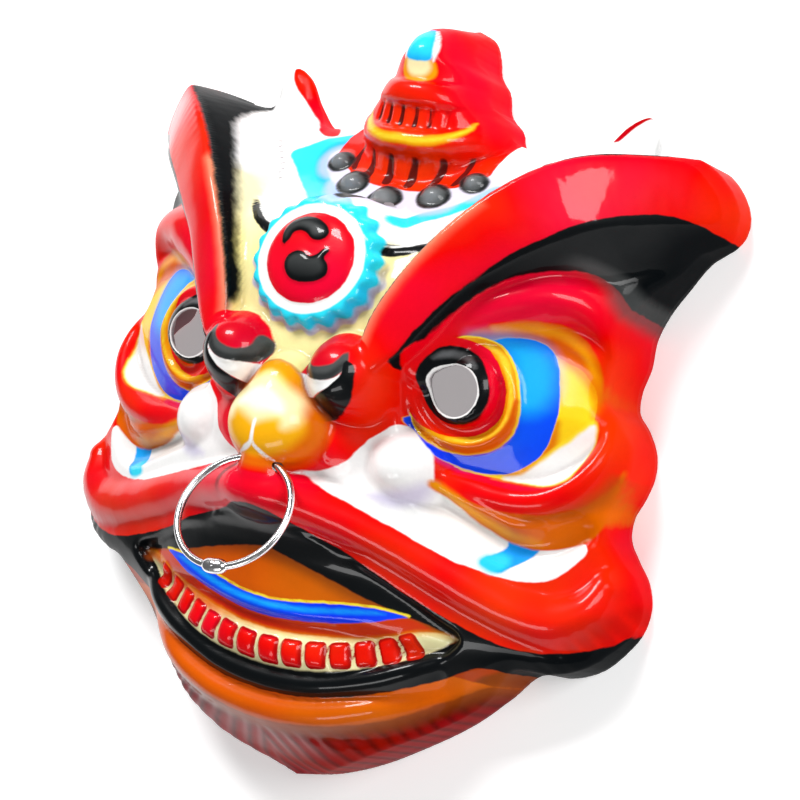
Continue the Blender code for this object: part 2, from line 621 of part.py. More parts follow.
def mask_shell():
    """Hollow face, open at the back, with its pupil holes and the holes for the ring."""
    x, y, z, edge = form_grid()
    shell = solid_form("mask_shell", x, y, z, edge, SHELL_FLOOR, OUTER_FACETS)
    hollow = solid_form("hollow", x, y, sunk(z, WALL), edge - WALL, HOLLOW_FLOOR, INNER_FACETS)
    reach = FACE_WIDTH + FACE_LENGTH
    below = prism("below", [(-reach, -reach), (reach, -reach), (reach, reach),
                            (-reach, reach)], -reach, 0.0)
    cutters = [hollow, below]
    for side in (-1, 1):
        centre = placed(side * EYE_CENTRE[0], EYE_CENTRE[1], 0)
        turns = [2 * math.pi * k / PUPIL_HOLE_SIDES for k in range(PUPIL_HOLE_SIDES)]
        circle = [(centre.x + PUPIL_HOLE_RADIUS * math.cos(turn),
                   centre.y + PUPIL_HOLE_RADIUS * math.sin(turn)) for turn in turns]
        cutters.append(prism("pupil_hole", circle, PUPIL_HOLE_FROM, 2 * FACE_DEPTH))
    half = math.asin(placed(*NOSE_HOLE).x / RING_RADIUS) + WIRE_HOLE_ARC
    turns = np.linspace(-half, half, WIRE_HOLE_STEPS)
    cutters.append(swept_wire("ring_holes", turns, [WIRE_RADIUS + WIRE_CLEARANCE] * len(turns), False))
    cut(shell, cutters)
    shell.data.materials.clear()
    shell.data.materials.append(material("mask_shell", SHELL_COLOUR, 0.0, 0.2))


def nose_ring():
    """Wire ring with a thicker hinge knuckle."""
    turns = 2 * math.pi * np.arange(RING_STEPS) / RING_STEPS + KNUCKLE_TURN
    away = np.abs(np.arctan2(np.sin(turns - KNUCKLE_TURN), np.cos(turns - KNUCKLE_TURN))) * RING_RADIUS
    swell = np.maximum(1 - (away / (KNUCKLE_LENGTH / 2)) ** 4, 0)
    ring = swept_wire("nose_ring", turns, WIRE_RADIUS + (KNUCKLE_RADIUS - WIRE_RADIUS) * swell, True)
    ring.data.materials.append(material("nose_ring", RING_COLOUR, 1.0, 0.15))


def main():
    for thing in list(bpy.data.objects):
        bpy.data.objects.remove(thing)
    mask_shell()
    nose_ring()


main()
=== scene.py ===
"""Lion dance face mask of formed, hand-sprayed plastic, lying on its open back, with a split nose ring.

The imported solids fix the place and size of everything. The skin of the mask is drawn here again from the
sizes of its parts, finer than the solid, and each coat of paint is a smooth distance on that skin. The wire
ring is swept along its circle.

Sizes of the face are drawn millimetres: x out from the middle line, y up from the tip of the nose and z out
from the rim. The right half is drawn, and the left half mirrors it, but for what is painted on one side.
"""

import logging
import math
from dataclasses import dataclass, field
from enum import Enum
from typing import Callable, Optional

import bmesh
import bpy
import numpy as np
from mathutils import Matrix, Vector


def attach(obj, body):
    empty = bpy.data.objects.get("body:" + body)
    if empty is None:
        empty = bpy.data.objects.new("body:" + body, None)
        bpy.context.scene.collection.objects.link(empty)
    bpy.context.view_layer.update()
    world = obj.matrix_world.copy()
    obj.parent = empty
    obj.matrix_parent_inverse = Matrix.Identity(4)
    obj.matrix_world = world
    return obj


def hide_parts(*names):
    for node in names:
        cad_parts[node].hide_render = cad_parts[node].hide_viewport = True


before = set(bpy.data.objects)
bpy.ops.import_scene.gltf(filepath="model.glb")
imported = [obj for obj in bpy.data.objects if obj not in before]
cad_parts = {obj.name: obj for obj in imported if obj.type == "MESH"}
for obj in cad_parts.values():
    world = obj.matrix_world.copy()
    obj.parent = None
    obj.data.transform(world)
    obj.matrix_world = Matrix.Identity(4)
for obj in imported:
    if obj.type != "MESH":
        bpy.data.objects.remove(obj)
log = logging.getLogger("mask")

MM = 0.001
CHIN_Y = -128.5
FACE_LENGTH = 289.0

Rows = tuple[tuple[float, ...], ...]
Field = np.ndarray


# Shapes of fields

def smooth_max(a: Field, b: Field, blend: float) -> Field:
    """Larger of two heights, rounded where they cross."""
    share = np.clip(0.5 + 0.5 * (a - b) / blend, 0.0, 1.0)
    return b + (a - b) * share + blend * share * (1.0 - share)


def ease(start: float, end: float, value: Field) -> Field:
    """Share from 0 at the start to 1 at the end, with soft ends."""
    t = np.clip((value - start) / (end - start), 0.0, 1.0)
    return t * t * (3.0 - 2.0 * t)


def stations(table: Rows, value: Field) -> Field:
    """Level between stations, without overshoot.

    Args:
        table: place and level of each station.
        value: places to read.

    Returns:
        The level at each place.
    """
    place, level = np.array(table, float).T
    gap = np.diff(place)
    slope = np.diff(level) / gap
    tangent = np.zeros(len(place))
    same = slope[:-1] * slope[1:] > 0
    first, second = slope[:-1][same], slope[1:][same]
    before, after = gap[:-1][same], gap[1:][same]
    weight = (2 * after + before) / first + (after + 2 * before) / second
    tangent[1:-1][same] = 3 * (before + after) / weight
    value = np.clip(value, place[0], place[-1])
    i = np.clip(np.searchsorted(place, value, side="right") - 1, 0, len(gap) - 1)
    t = (value - place[i]) / gap[i]
    start = (2 * t ** 3 - 3 * t ** 2 + 1) * level[i] + (t ** 3 - 2 * t ** 2 + t) * gap[i] * tangent[i]
    end = (3 * t ** 2 - 2 * t ** 3) * level[i + 1] + (t ** 3 - t ** 2) * gap[i] * tangent[i + 1]
    return start + end


def spline(rows: Rows, steps: int, closed: bool = False) -> Field:
    """Smooth path through rows, with every column carried along.

    Args:
        rows: x, y and any other columns.
        steps: points to each stretch.
        closed: whether the path runs back to its start.

    Returns:
        The points of the path, one row each.
    """
    points = np.array(rows, float)
    if closed:
        points = np.vstack([points[-1:], points, points[:2]])
    else:
        points = np.vstack([2 * points[0] - points[1], points, 2 * points[-1] - points[-2]])
    chord = np.maximum(np.hypot(*np.diff(points[:, :2], axis=0).T), 1e-6)[:, None]
    slope = np.diff(points, axis=0) / chord
    tangent = (slope[:-1] * chord[1:] + slope[1:] * chord[:-1]) / (chord[:-1] + chord[1:])
    path = []
    for i in range(len(points) - 3):
        a, b, length = points[i + 1], points[i + 2], chord[i + 1]
        for t in np.arange(steps) / steps:
            path.append((2 * t ** 3 - 3 * t ** 2 + 1) * a + (t ** 3 - 2 * t ** 2 + t) * length * tangent[i]
                        + (3 * t ** 2 - 2 * t ** 3) * b + (t ** 3 - t ** 2) * length * tangent[i + 1])
    if not closed:
        path.append(points[-2])
    return np.array(path)


def nearest(x: Field, y: Field, path: Field) -> tuple[Field, Field, Field]:
    """Measures places against a path.

    Args:
        x: places across.
        y: places along.
        path: points of the path.

    Returns:
        Distance, side (+1 left of the run) and the path's other columns at the nearest point.
    """
    best = np.full(x.shape, 1e9)
    side = np.ones(x.shape)
    columns = np.zeros(x.shape + (path.shape[1] - 2,))
    for a, b in zip(path[:-1], path[1:]):
        run = b[:2] - a[:2]
        length = run @ run
        if length < 1e-12:
            continue
        t = np.clip(((x - a[0]) * run[0] + (y - a[1]) * run[1]) / length, 0.0, 1.0)
        distance = np.hypot(x - a[0] - t * run[0], y - a[1] - t * run[1])
        nearer = distance < best
        best = np.where(nearer, distance, best)
        side = np.where(nearer, np.sign(run[0] * (y - a[1]) - run[1] * (x - a[0])), side)
        if columns.shape[-1]:
            columns[nearer] = a[2:] + t[nearer][:, None] * (b[2:] - a[2:])
    return best, side, columns


def inside(x: Field, y: Field, ring: Field) -> Field:
    """Whether places are within a closed outline."""
    odd = np.zeros(x.shape, bool)
    for a, b in zip(ring, np.roll(ring, -1, axis=0)):
        if a[1] == b[1]:
            continue
        across = a[0] + (y - a[1]) * (b[0] - a[0]) / (b[1] - a[1])
        odd ^= ((a[1] > y) != (b[1] > y)) & (x < across)
    return odd


def depth_inside(x: Field, y: Field, rows: Rows, reach: float = 12.0) -> Field:
    """Distance within a smooth closed outline.

    Args:
        x: places across.
        y: places along.
        rows: points of the outline.
        reach: distance outside the outline past which it isn't measured.

    Returns:
        Distance to the outline, negative outside it.
    """
    ring = spline(rows, 5, closed=True)
    low, high = ring.min(axis=0) - reach, ring.max(axis=0) + reach
    close = (x > low[0]) & (x < high[0]) & (y > low[1]) & (y < high[1])
    depth = np.full(x.shape, -reach)
    distance, _, _ = nearest(x[close], y[close], np.vstack([ring, ring[:1]]))
    depth[close] = np.where(inside(x[close], y[close], ring), distance, -distance)
    return depth


def path_distance(x: Field, y: Field, rows: Rows, reach: float = 12.0) -> tuple[Field, Field]:
    """Distance to a smooth open path, and its third column there.

    Args:
        x: places across.
        y: places along.
        rows: x, y and one more column of each point.
        reach: distance past which it isn't measured.

    Returns:
        The distance, and the third column at the nearest point.
    """
    path = spline(rows, 6)
    low, high = path[:, :2].min(axis=0) - reach, path[:, :2].max(axis=0) + reach
    close = (x > low[0]) & (x < high[0]) & (y > low[1]) & (y < high[1])
    distance, column = np.full(x.shape, reach), np.zeros(x.shape)
    distance[close], _, columns = nearest(x[close], y[close], path)
    column[close] = columns[..., 0]
    return distance, column


def roll(x: Field, y: Field, rows: Rows, under: float = 1.0) -> Field:
    """Height of a rounded roll along a path.

    Args:
        x: places across.
        y: places along.
        rows: x, y, height, half width and drop at the half width.
        under: how many times more it drops on the right of its run.

    Returns:
        The height at each place.
    """
    distance, side, columns = nearest(x, y, spline(rows, 5))
    top, half_width, drop = np.moveaxis(columns, -1, 0)
    drop = drop * np.where(side < 0, under, 1.0)
    reach = distance / half_width
    beyond = np.maximum(2 * drop / half_width, 2.0) * np.maximum(distance - half_width, 0)
    return top - drop * np.minimum(reach, 1) ** 2 - beyond


def dome(x: Field, y: Field, sizes: tuple[float, ...]) -> Field:
    """Height of a dome: x, y, radius across, radius along, top, drop at the radius, fullness."""
    centre_x, centre_y, across, along, top, drop, fullness = sizes
    return top - drop * np.hypot((x - centre_x) / across, (y - centre_y) / along) ** fullness


# Paints

class Colour(Enum):
    """Paints and plastics on the object, as red, green and blue of the eye's scale."""

    RED = (0.93, 0.005, 0.01)
    DEEP_RED = (0.29, 0.03, 0.02)
    CRIMSON = (0.72, 0.0, 0.02)
    BLACK = (0.035, 0.05, 0.06)
    CHARCOAL = (0.30, 0.31, 0.31)
    GREY = (0.52, 0.53, 0.54)
    LAVENDER = (0.80, 0.77, 0.89)
    WHITE = (0.985, 0.985, 0.98)
    CREAM = (1.0, 0.965, 0.74)
    LEMON = (1.0, 0.90, 0.22)
    YELLOW = (1.0, 0.83, 0.10)
    GOLD = (0.96, 0.64, 0.03)
    ORANGE = (0.88, 0.38, 0.0)
    BROWN = (0.62, 0.27, 0.04)
    RUST = (0.82, 0.17, 0.04)
    CYAN = (0.18, 0.86, 0.97)
    SKY = (0.08, 0.66, 1.0)
    BLUE = (0.02, 0.30, 1.0)
    COBALT = (0.0, 0.25, 0.97)

    @property
    def linear(self) -> tuple[float, float, float, float]:
        """The colour in the renderer's scale."""
        r, g, b = (c / 12.92 if c <= 0.04045 else ((c + 0.055) / 1.055) ** 2.4 for c in self.value)
        return r, g, b, 1.0


@dataclass
class Place:
    """Drawn places on the skin, one for each point."""

    x: Field
    y: Field
    z: Field

    @property
    def across(self) -> Field:
        """Distance from the middle line."""
        return np.abs(self.x)


@dataclass(frozen=True)
class Coat:
    """One coat of paint: where it lies, how far it fades, and how much of it there is."""

    name: str
    colour: Colour
    region: Callable[[Place], Field]
    softness: float = 0.45
    share: Optional[Callable[[Place], Field]] = None


def blot(*rows: tuple[float, float]) -> Callable[[Place], Field]:
    """Region within an outline, on both halves."""
    return lambda place: depth_inside(place.across, place.y, rows)


def one_side(side: int, *rows: tuple[float, float]) -> Callable[[Place], Field]:
    """Region within an outline that is given in signed places, times the side."""
    return lambda place: depth_inside(side * place.x, place.y, rows)


def stroke(*rows: tuple[float, float, float]) -> Callable[[Place], Field]:
    """Region along a path on both halves: x, y and half width."""
    def region(place: Place) -> Field:
        """Distance within the stroke."""
        distance, half_width = path_distance(place.across, place.y, rows)
        return half_width - distance
    return region


def even(share: float) -> Callable[[Place], Field]:
    """The same share everywhere."""
    return lambda place: share + 0 * place.x


def toward(x0: float, y0: float, x1: float, y1: float) -> Callable[[Place], Field]:
    """Share that grows from 0 at the first drawn place to 1 at the second, on both halves."""
    run = np.array([x1 - x0, y1 - y0])
    run = run / (run @ run)
    return lambda place: ease(0.0, 1.0, (place.across - x0) * run[0] + (place.y - y0) * run[1])


# Relief and paint of the parts of the face

@dataclass
class FaceAndBrows:
    """Broad form of the face, the forehead and the two brow slabs."""

    across: Rows = ((0, 64), (20, 63.5), (38, 60), (46, 56), (58, 50), (70, 45), (80, 41), (90, 36),
                    (100, 30), (108, 24), (116, 18), (125, 11))
    along: Rows = ((-130, 0.08), (-118, 0.4), (-107, 0.6), (-97, 0.62), (-88, 0.66), (-65, 0.86),
                   (-30, 1), (40, 1.08), (60, 1.06), (72, 1), (85, 0.78), (98, 0.74), (108, 0.7),
                   (116, 0.6), (161, 0.2))
    forehead: Rows = ((10, 72), (30, 73), (48, 72.5), (64, 68.5), (74, 59), (84, 42.5), (91, 36),
                      (98, 31), (108, 24), (116, 15), (125, 9), (161, 4))
    brow: Rows = ((33, 27, 79, 5.5, 4.0, 0.05), (36.3, 34, 78.5, 7.5, 4.0, 0.25),
                  (42.8, 47.5, 77.5, 8.8, 4.0, 0.35), (51.4, 63, 75, 9.3, 3.0, 0.4),
                  (60.5, 74.5, 71.5, 10.6, 2.4, 0.42), (70, 85, 66.5, 11.6, 2.0, 0.4),
                  (86.5, 98.5, 55, 12.3, 1.7, 0.3), (103, 106, 37, 11.8, 1.6, 0.2),
                  (124, 113, 12, 11.2, 1.5, 0.1))
    leaf: Rows = ((44.6, 76.0, 0.1), (41.0, 72.8, 1.3), (31.0, 66.9, 2.3), (19.5, 62.2, 2.0))
    leaf_rise: float = 0.9
    jaw_narrowing: float = 0.45
    jaw_narrows: tuple[float, float] = (-58.0, -88.0)
    ear_level: float = 3.4

    def plain_forehead(self, x: Field, y: Field) -> Field:
        """Height of the forehead between the brows."""
        return smooth_max(stations(self.forehead, y) - 0.0012 * x ** 2, self.ear_level, 2.0)

    def beside_brow(self, x: Field, y: Field) -> tuple[Field, Field, Field, Field, Field]:
        """Signed distance left of the brow's run, and its height, half width, flank slope and tilt there."""
        distance, side, columns = nearest(x, y, spline(self.brow, 6))
        top, half_width, flank, tilt = np.moveaxis(columns, -1, 0)
        return side * distance, top, half_width, flank, tilt

    def height(self, x: Field, y: Field) -> Field:
        """Height of the face before its features."""
        narrower = 1 + self.jaw_narrowing * ease(*self.jaw_narrows, y)
        face = stations(self.across, x * narrower) * stations(self.along, y)
        left, top, half_width, flank, tilt = self.beside_brow(x, y)
        share = ease(-1.0, 1.0, left) * ease(12, 24, y)
        rise, width = path_distance(x, y, self.leaf)
        leaf = self.leaf_rise * ease(0.4, -1.2, rise - width)
        face = face * (1 - share) + (self.plain_forehead(x, y) + leaf) * share
        over = np.clip(-left, -half_width, half_width)
        crown = 1.4 * (1 - (over / half_width) ** 2)
        fall = np.where(left > 0, 7.0, flank) * np.maximum(np.abs(left) - half_width, 0.0)
        return smooth_max(face, top - tilt * over + crown - fall, 2.5)

    def coats(self) -> list[Coat]:
        """Paint of the forehead, the brows and the ears."""
        def forehead(place: Place) -> Field:
            """Distance within the forehead."""
            left, _, half_width, _, _ = self.beside_brow(place.across, place.y)
            return np.minimum(left - half_width, place.y - 14)

        def brow_wall(place: Place) -> Field:
            """Distance within the inner wall of a brow."""
            left, _, half_width, _, _ = self.beside_brow(place.across, place.y)
            return np.minimum(left - half_width + 0.6, depth_inside(place.across, place.y, wall))

        def brow_line(place: Place) -> Field:
            """Distance within the dark line along the top edge of the right brow."""
            left, _, half_width, _, _ = self.beside_brow(place.across, place.y)
            line = 0.75 - np.abs(left - half_width - 0.1)
            return np.where(place.x > 0, np.minimum(line, 0.25 * np.minimum(place.x - 30, 92 - place.x)),
                            -9.0)

        wall = ((28.6, 37), (34.7, 54), (42.6, 69.4), (51.7, 84), (59.3, 94), (71.1, 106.6), (80, 116),
                (92, 127), (106, 126), (92, 106), (74, 95), (60, 82), (50, 68), (42, 50), (36, 34),
                (30, 28))

        def within(region: Callable[[Place], Field],
                   *rows: tuple[float, float]) -> Callable[[Place], Field]:
            """Part of a region that is also within an outline."""
            return lambda place: np.minimum(region(place), depth_inside(place.across, place.y, rows))

        under = ((40.0, 25.2), (42.8, 31.2), (45.6, 37.1), (48.8, 42.4), (52.5, 48.5), (56.1, 54.0),
                 (61.0, 60.2), (65.9, 66.3), (70.3, 71.2), (75.8, 76.5), (81.2, 81.4), (86.7, 86.1),
                 (91.8, 89.8), (96.7, 93.0), (101.7, 95.6), (106.8, 97.5), (113.3, 98.3), (117.0, 97.8),
                 (120.1, 96.8), (132, 94), (132, 50), (112, 50), (107.5, 55.3), (104.7, 58.7),
                 (102.5, 62.0), (100.4, 65.3), (97.4, 68.9), (93.5, 71.3), (90.1, 72.6), (86.5, 72.4),
                 (82.3, 71.1), (77.6, 68.9), (73.3, 66.5), (69.0, 63.6), (64.5, 59.7), (60.5, 55.6),
                 (56.9, 50.8), (53.1, 45.1), (49.4, 38.9), (46.2, 33.6), (43.3, 28.8), (40.6, 24.6))
        return [
            Coat("forehead", Colour.WHITE, forehead, 0.8),
            Coat("bridge", Colour.LEMON, within(forehead, (-8, 61), (0, 60), (15, 60), (25.4, 64.5),
                 (34.8, 69.8), (43.7, 76), (52, 85), (58, 80), (48, 56), (40, 30), (26, 12), (12, 4),
                 (-8, 4)), 1.2, lambda place: 0.85 - 0.5 * ease(54, 78, place.y)),
            Coat("bridge_pale", Colour.CREAM, within(forehead, (-8, 60), (40, 74), (53, 86), (60, 78),
                 (48, 56), (36, 24), (14, 16), (-8, 22)), 12.0, even(0.7)),
            Coat("brow_line", Colour.BLACK, brow_line, 0.9, even(0.85)),
            Coat("band_left", Colour.CYAN, one_side(-1, (28.2, 112), (32.2, 111.4), (37.5, 109.6),
                 (43.7, 107), (48.9, 103.4), (54.2, 100.2), (45.2, 91.7), (35.8, 84.8), (6.8, 73.7),
                 (-8, 76), (-3, 78.4), (27.7, 90.3), (35, 97.1), (36.3, 100.8), (32.3, 104.8), (27, 108)),
                 1.2),
            Coat("band_left_deep", Colour.SKY, one_side(-1, (24, 111), (34, 108.5), (40.5, 102),
                 (39.5, 96), (31, 88), (8, 77), (-3, 77.5), (27, 90), (35, 97), (36, 101), (28, 107)),
                 5.0, even(0.8)),
            Coat("band_right", Colour.CYAN, one_side(1, (17, 77), (18.6, 82.4), (23.8, 85.8), (29.3, 90),
                 (34.1, 95.6), (36.3, 98.4), (40.6, 99.5), (38.6, 94.6), (34, 89), (28.6, 83.6),
                 (24.4, 79), (22, 74)), 1.4),
            Coat("leaf", Colour.BLACK, stroke(*self.leaf), 0.7),
            Coat("leaf_glint", Colour.WHITE, stroke((45.4, 77.7, 0.1), (39, 72.9, 0.5), (30, 68.2, 0.6),
                 (23, 65.2, 0.1)), 0.6),
            Coat("brow_wall", Colour.BLACK, brow_wall, 1.3),
            Coat("brow_under", Colour.BLACK, blot(*under), 0.6),
            # Painted sheen: a soft grey reflection on the black under the outer end of the brow, stronger
            # toward the side.
            Coat("brow_painted_sheen", Colour.CHARCOAL, stroke((80, 71.5, 0.2), (88, 74.2, 2.2), (96, 71.5, 3.4),
                 (101.8, 64.5, 4), (106, 58, 4), (110, 52, 4)), 4.5,
                 lambda place: 0.75 * ease(78, 90, place.across)),
            Coat("ear_wall", Colour.RED, one_side(-1, (74, 137.6), (79.4, 139), (77.6, 132),
                 (67.9, 122.9), (58, 116), (48.2, 109.7), (43.4, 108.6), (39.4, 109.8), (41, 112),
                 (48, 114.6), (55.7, 119.3), (64.3, 126.8), (70.5, 133.6)), 0.8),
            Coat("ear_line", Colour.CRIMSON, one_side(1, (71.5, 133.6), (75, 138.5), (80, 139.8),
                 (82, 137), (78.4, 136.4), (74.6, 133.6), (66, 126), (64.5, 127)), 0.8),
        ]


@dataclass
class Eyes:
    """Eyeballs in rolled lids, each with a ringed pupil."""

    opening: Rows = ((43, 6), (50, -1), (60, -4), (72, -4), (84, -4.5), (94, 0), (100.5, 9), (102, 20),
                     (100, 33), (95, 41), (84, 45), (73, 45), (62, 42.5), (51, 36), (43.5, 24), (41, 14))
    upper_lid: Rows = ((43, 27, 68, 6, 5), (50, 41, 66, 6, 5), (60, 51, 63.5, 7, 6), (70, 57.5, 60, 8, 7),
                       (80, 61, 55, 9, 8), (89, 60, 48.5, 9, 9), (96, 55, 41, 8, 9),
                       (100.5, 47, 34, 6, 8), (102.5, 38, 29, 5, 7))
    lower_lid: Rows = ((48, -5, 52, 5, 4), (58, -8, 50.5, 5.2, 4.5), (69, -9.2, 48.5, 5.6, 5),
                       (80, -9.3, 46, 6.3, 6), (90, -6.5, 43, 7, 7), (98.5, 0.5, 39.5, 7, 8),
                       (103.5, 10, 35.5, 6.5, 9), (104.5, 20, 31, 6, 9), (103.5, 31, 28, 6, 8),
                       (103, 41, 28, 6, 8))
    side_lobe: Rows = ((104, 24, 24, 5, 8), (108.5, 14, 27, 5, 8), (108, 4, 27, 5, 8), (104, -4, 26, 5, 8))
    centre: tuple[float, float] = (57.3, 22.4)
    hole_radius: float = 8.9

    def height(self, x: Field, y: Field, z: Field) -> Field:
        """Height with the eyes."""
        share = ease(-2.5, 1.0, depth_inside(x, y, self.opening))
        right, up = x - self.centre[0], y - self.centre[1]
        ball = 57 - 0.35 * right - 0.0055 * (right ** 2 + up ** 2) - 0.25 * np.maximum(0, -up)
        from_centre = np.hypot(x - 59.0, y - 21.8)
        ball = smooth_max(ball, ball + 2.4 - 2.4 * ((from_centre - 17.0) / 2.3) ** 2, 1.0)
        ball = ball - 1.2 * ease(15.5, 14.5, from_centre)
        from_pupil = np.hypot(x - 57.4, y - 24.2) / 13.2
        ball = np.maximum(ball, np.where(from_pupil < 1,
                          53 + 7 * np.sqrt(np.maximum(1 - from_pupil ** 2, 0)), 0))
        z = z * (1 - share) + ball * share
        z = smooth_max(z, roll(x, y, self.upper_lid), 2.0)
        z = smooth_max(z, roll(x, y, self.lower_lid), 1.5)
        return smooth_max(z, roll(x, y, self.side_lobe), 2.0)

    def hole(self, place: Place) -> Field:
        """Distance outside the pupil holes."""
        return np.hypot(place.across - self.centre[0], place.y - self.centre[1]) - self.hole_radius

    def coats(self) -> list[Coat]:
        """Paint of the eyes, from the lids in to the pupil."""
        iris = ((61, 40.5), (65.6, 43.1), (70.3, 45.2), (75.4, 45.9), (81.1, 44.7), (82.8, 43.5),
                (85.5, 39), (87.3, 33.3), (88.4, 28.2), (89, 23), (88.4, 17.6), (87.2, 12.1), (85.2, 7.9),
                (82.1, 4.2), (78.2, 0.9), (74.2, -1.2), (70.1, -2.3), (65.2, -2.7), (60.2, -2.4),
                (55.5, -1.2), (50.8, 1.2), (46.5, 4), (43, 6.6), (40.8, 9.2), (44, 12), (50, 25),
                (55, 36))
        return [
            Coat("lid_gold", Colour.ORANGE, blot((50, 33), (54.1, 38), (57.6, 41.2), (60.1, 43.7),
                 (65.6, 47.2), (71.7, 49.9), (77.8, 51.9), (82.2, 52.8), (86.1, 52.8), (89.9, 51),
                 (94, 47.6), (96.9, 43), (98.2, 38.1), (98.9, 32.8), (99.4, 27.4), (99, 23), (94, 24),
                 (88, 34), (72, 40), (56, 36)), 1.3),
            # Painted highlight: a lighter gold stroke along the crest of the upper lid roll.
            Coat("lid_gold_highlight", Colour.GOLD, stroke((66, 46, 0.8), (76, 49.3, 1.4), (85, 49.6, 1.5),
                 (92, 45.6, 1.2), (95.6, 39, 1.0), (97, 30, 0.8)), 3.2, even(0.8)),
            Coat("lid_gold_dark", Colour.BROWN, stroke((53, 36.6, 1.4), (60, 41.5, 1.4), (66, 44, 0.9),
                 (74, 47, 0.5), (82, 46.5, 0.4)), 1.8, even(0.65)),
            Coat("ball", Colour.YELLOW, blot((60, 41), (65.6, 42.7), (70.3, 44.8), (75.4, 45.6),
                 (81.1, 44.4), (83.6, 42.8), (88, 40.8), (91.3, 40.2), (95.9, 36.1), (98, 32), (99, 27),
                 (99.6, 20), (100, 14), (99.4, 7.4), (97.4, 2), (93.5, -1), (88.9, -2.4), (83.5, -2.8),
                 (78.2, -2.9), (70, -3.2), (60, -3), (50, 3), (45, 20), (52, 35)), 0.5),
            Coat("ball_orange", Colour.ORANGE, stroke((82, 43.5, 1.2), (88.5, 41, 1.6), (94.8, 36.8, 1.8),
                 (98.6, 30, 1.2), (99, 25, 0.6)), 3.4, even(0.75)),
            Coat("ball_shade", Colour.ORANGE, stroke((89, 20, 1.0), (88, 13, 1.8), (85.4, 8, 2.2),
                 (81, 3, 2.2), (76, -0.5, 1.5)), 3.0, even(0.85)),
            Coat("white_rim", Colour.LEMON, blot((71, -3.4), (72.6, -2.2), (78.9, 1.0), (82.8, 4.4),
                 (86.5, 8.8), (90, 12.8), (93.5, 16.8), (96.8, 21.4), (99.6, 24.2), (101, 18),
                 (100.2, 12), (99.6, 7), (97.6, 1.4), (93.7, -1.4), (88.9, -2.8), (83.5, -3.2),
                 (78.2, -3.4)), 1.2, lambda place: 0.3 + 0.4 * ease(0, 8, place.y)),
            Coat("white", Colour.WHITE, blot((74, -2.6), (79.2, -0.2), (83.3, 3.4), (87, 7.8),
                 (90.6, 11.8), (94, 15.6), (97, 19.8), (99.6, 22.6), (100.4, 18), (99.6, 12), (98.8, 7),
                 (96.8, 2.2), (93.2, -0.6), (88.7, -2.0), (83.5, -2.4), (78.2, -2.8)), 1.4),
            Coat("iris_edge", Colour.LEMON,
                 lambda place: depth_inside(place.across, place.y, iris) + 0.25, 0.5, even(0.45)),
            Coat("iris", Colour.BLUE, blot(*iris), 0.5),
            Coat("iris_light", Colour.SKY, blot((60, 41), (70, 44.6), (81.5, 43), (85.6, 36), (86.6, 29),
                 (83, 22), (78, 20), (74, 33), (66, 41)), 9.0),
            Coat("iris_deep", Colour.COBALT, stroke((48, 4, 0.5), (58, -0.8, 1.6), (68, 0.4, 2.2),
                 (76, 3.4, 2), (81, 9, 1.2)), 4.5, even(0.5)),
            Coat("ring_line", Colour.LEMON, blot((59, 42), (65, 42.4), (68.7, 40.8), (71.8, 37.6),
                 (74.8, 33.4), (77.1, 27.7), (78.2, 22.5), (77.9, 17.1), (76.4, 12.2), (73.8, 8.5),
                 (70.4, 5.5), (66.1, 3.3), (61.6, 1.9), (57.1, 1.5), (53.6, 2.1), (50.2, 3.4),
                 (45.4, 6.1), (43, 9), (42, 14), (46, 28), (53, 38)), 0.5),
            Coat("ring_gold", Colour.GOLD, blot((59, 41.5), (65, 41.8), (68.1, 40.3), (71.1, 37.2),
                 (74.2, 33.2), (76.5, 27.6), (77.6, 22.5), (77.3, 17.3), (75.9, 12.6), (73.4, 9.0),
                 (70.1, 6.0), (66, 3.9), (61.6, 2.5), (57.2, 2.1), (53.9, 2.7), (50.6, 4), (45.8, 6.7),
                 (43.5, 9.3), (43, 14), (46, 28), (53, 38)), 0.4),
            Coat("ring_shade", Colour.ORANGE, stroke((44, 9.5, 0.6), (49.5, 5.2, 1.0), (57, 3.4, 1.4),
                 (66, 5.2, 1.7), (72.3, 9.5, 1.7), (76, 16, 1.2), (77, 24, 0.6)), 2.0),
            Coat("ring_glint", Colour.LEMON, stroke((63, 40.8, 0.5), (68.6, 38, 0.8), (72.6, 32.5, 0.9),
                 (74.9, 26, 0.8), (75.2, 20, 0.7), (73.2, 14, 0.5), (68.5, 9.3, 0.5), (62, 6.8, 0.5),
                 (56, 5.9, 0.4)), 1.5, even(0.85)),
            Coat("annulus", Colour.RED, blot((56, 40.4), (60.8, 40.2), (64.4, 39), (68.3, 36),
                 (70.7, 32.1), (72.2, 27.2), (73, 21.8), (72.1, 17.4), (69.7, 13.4), (66.4, 10.4),
                 (61.8, 8.2), (57.4, 7.2), (53.6, 7), (50.2, 7.6), (46.6, 8.8), (42.5, 11.5), (41, 18),
                 (43, 30), (50, 38)), 0.5),
            Coat("pupil", Colour.BLACK, blot((56.8, 37.7), (60.6, 36.6), (64.9, 33.5), (68.1, 28.7),
                 (69.5, 23.6), (68.6, 18.6), (66, 14.6), (62.1, 12.1), (57.4, 11.2), (52.6, 12),
                 (48.9, 14.2), (46.3, 17.6), (45.4, 22.4), (46.3, 28), (48.8, 33), (52.5, 36.6)), 0.6),
            Coat("pupil_sheen", Colour.GREY, stroke((49.5, 31.5, 0.4), (53.5, 34.4, 1.0),
                 (58.5, 34.6, 1.1), (63, 31.8, 0.5)), 1.8, even(0.55)),
            Coat("hole_edge", Colour.WHITE, lambda place: 0.5 - self.hole(place), 0.3),
        ]


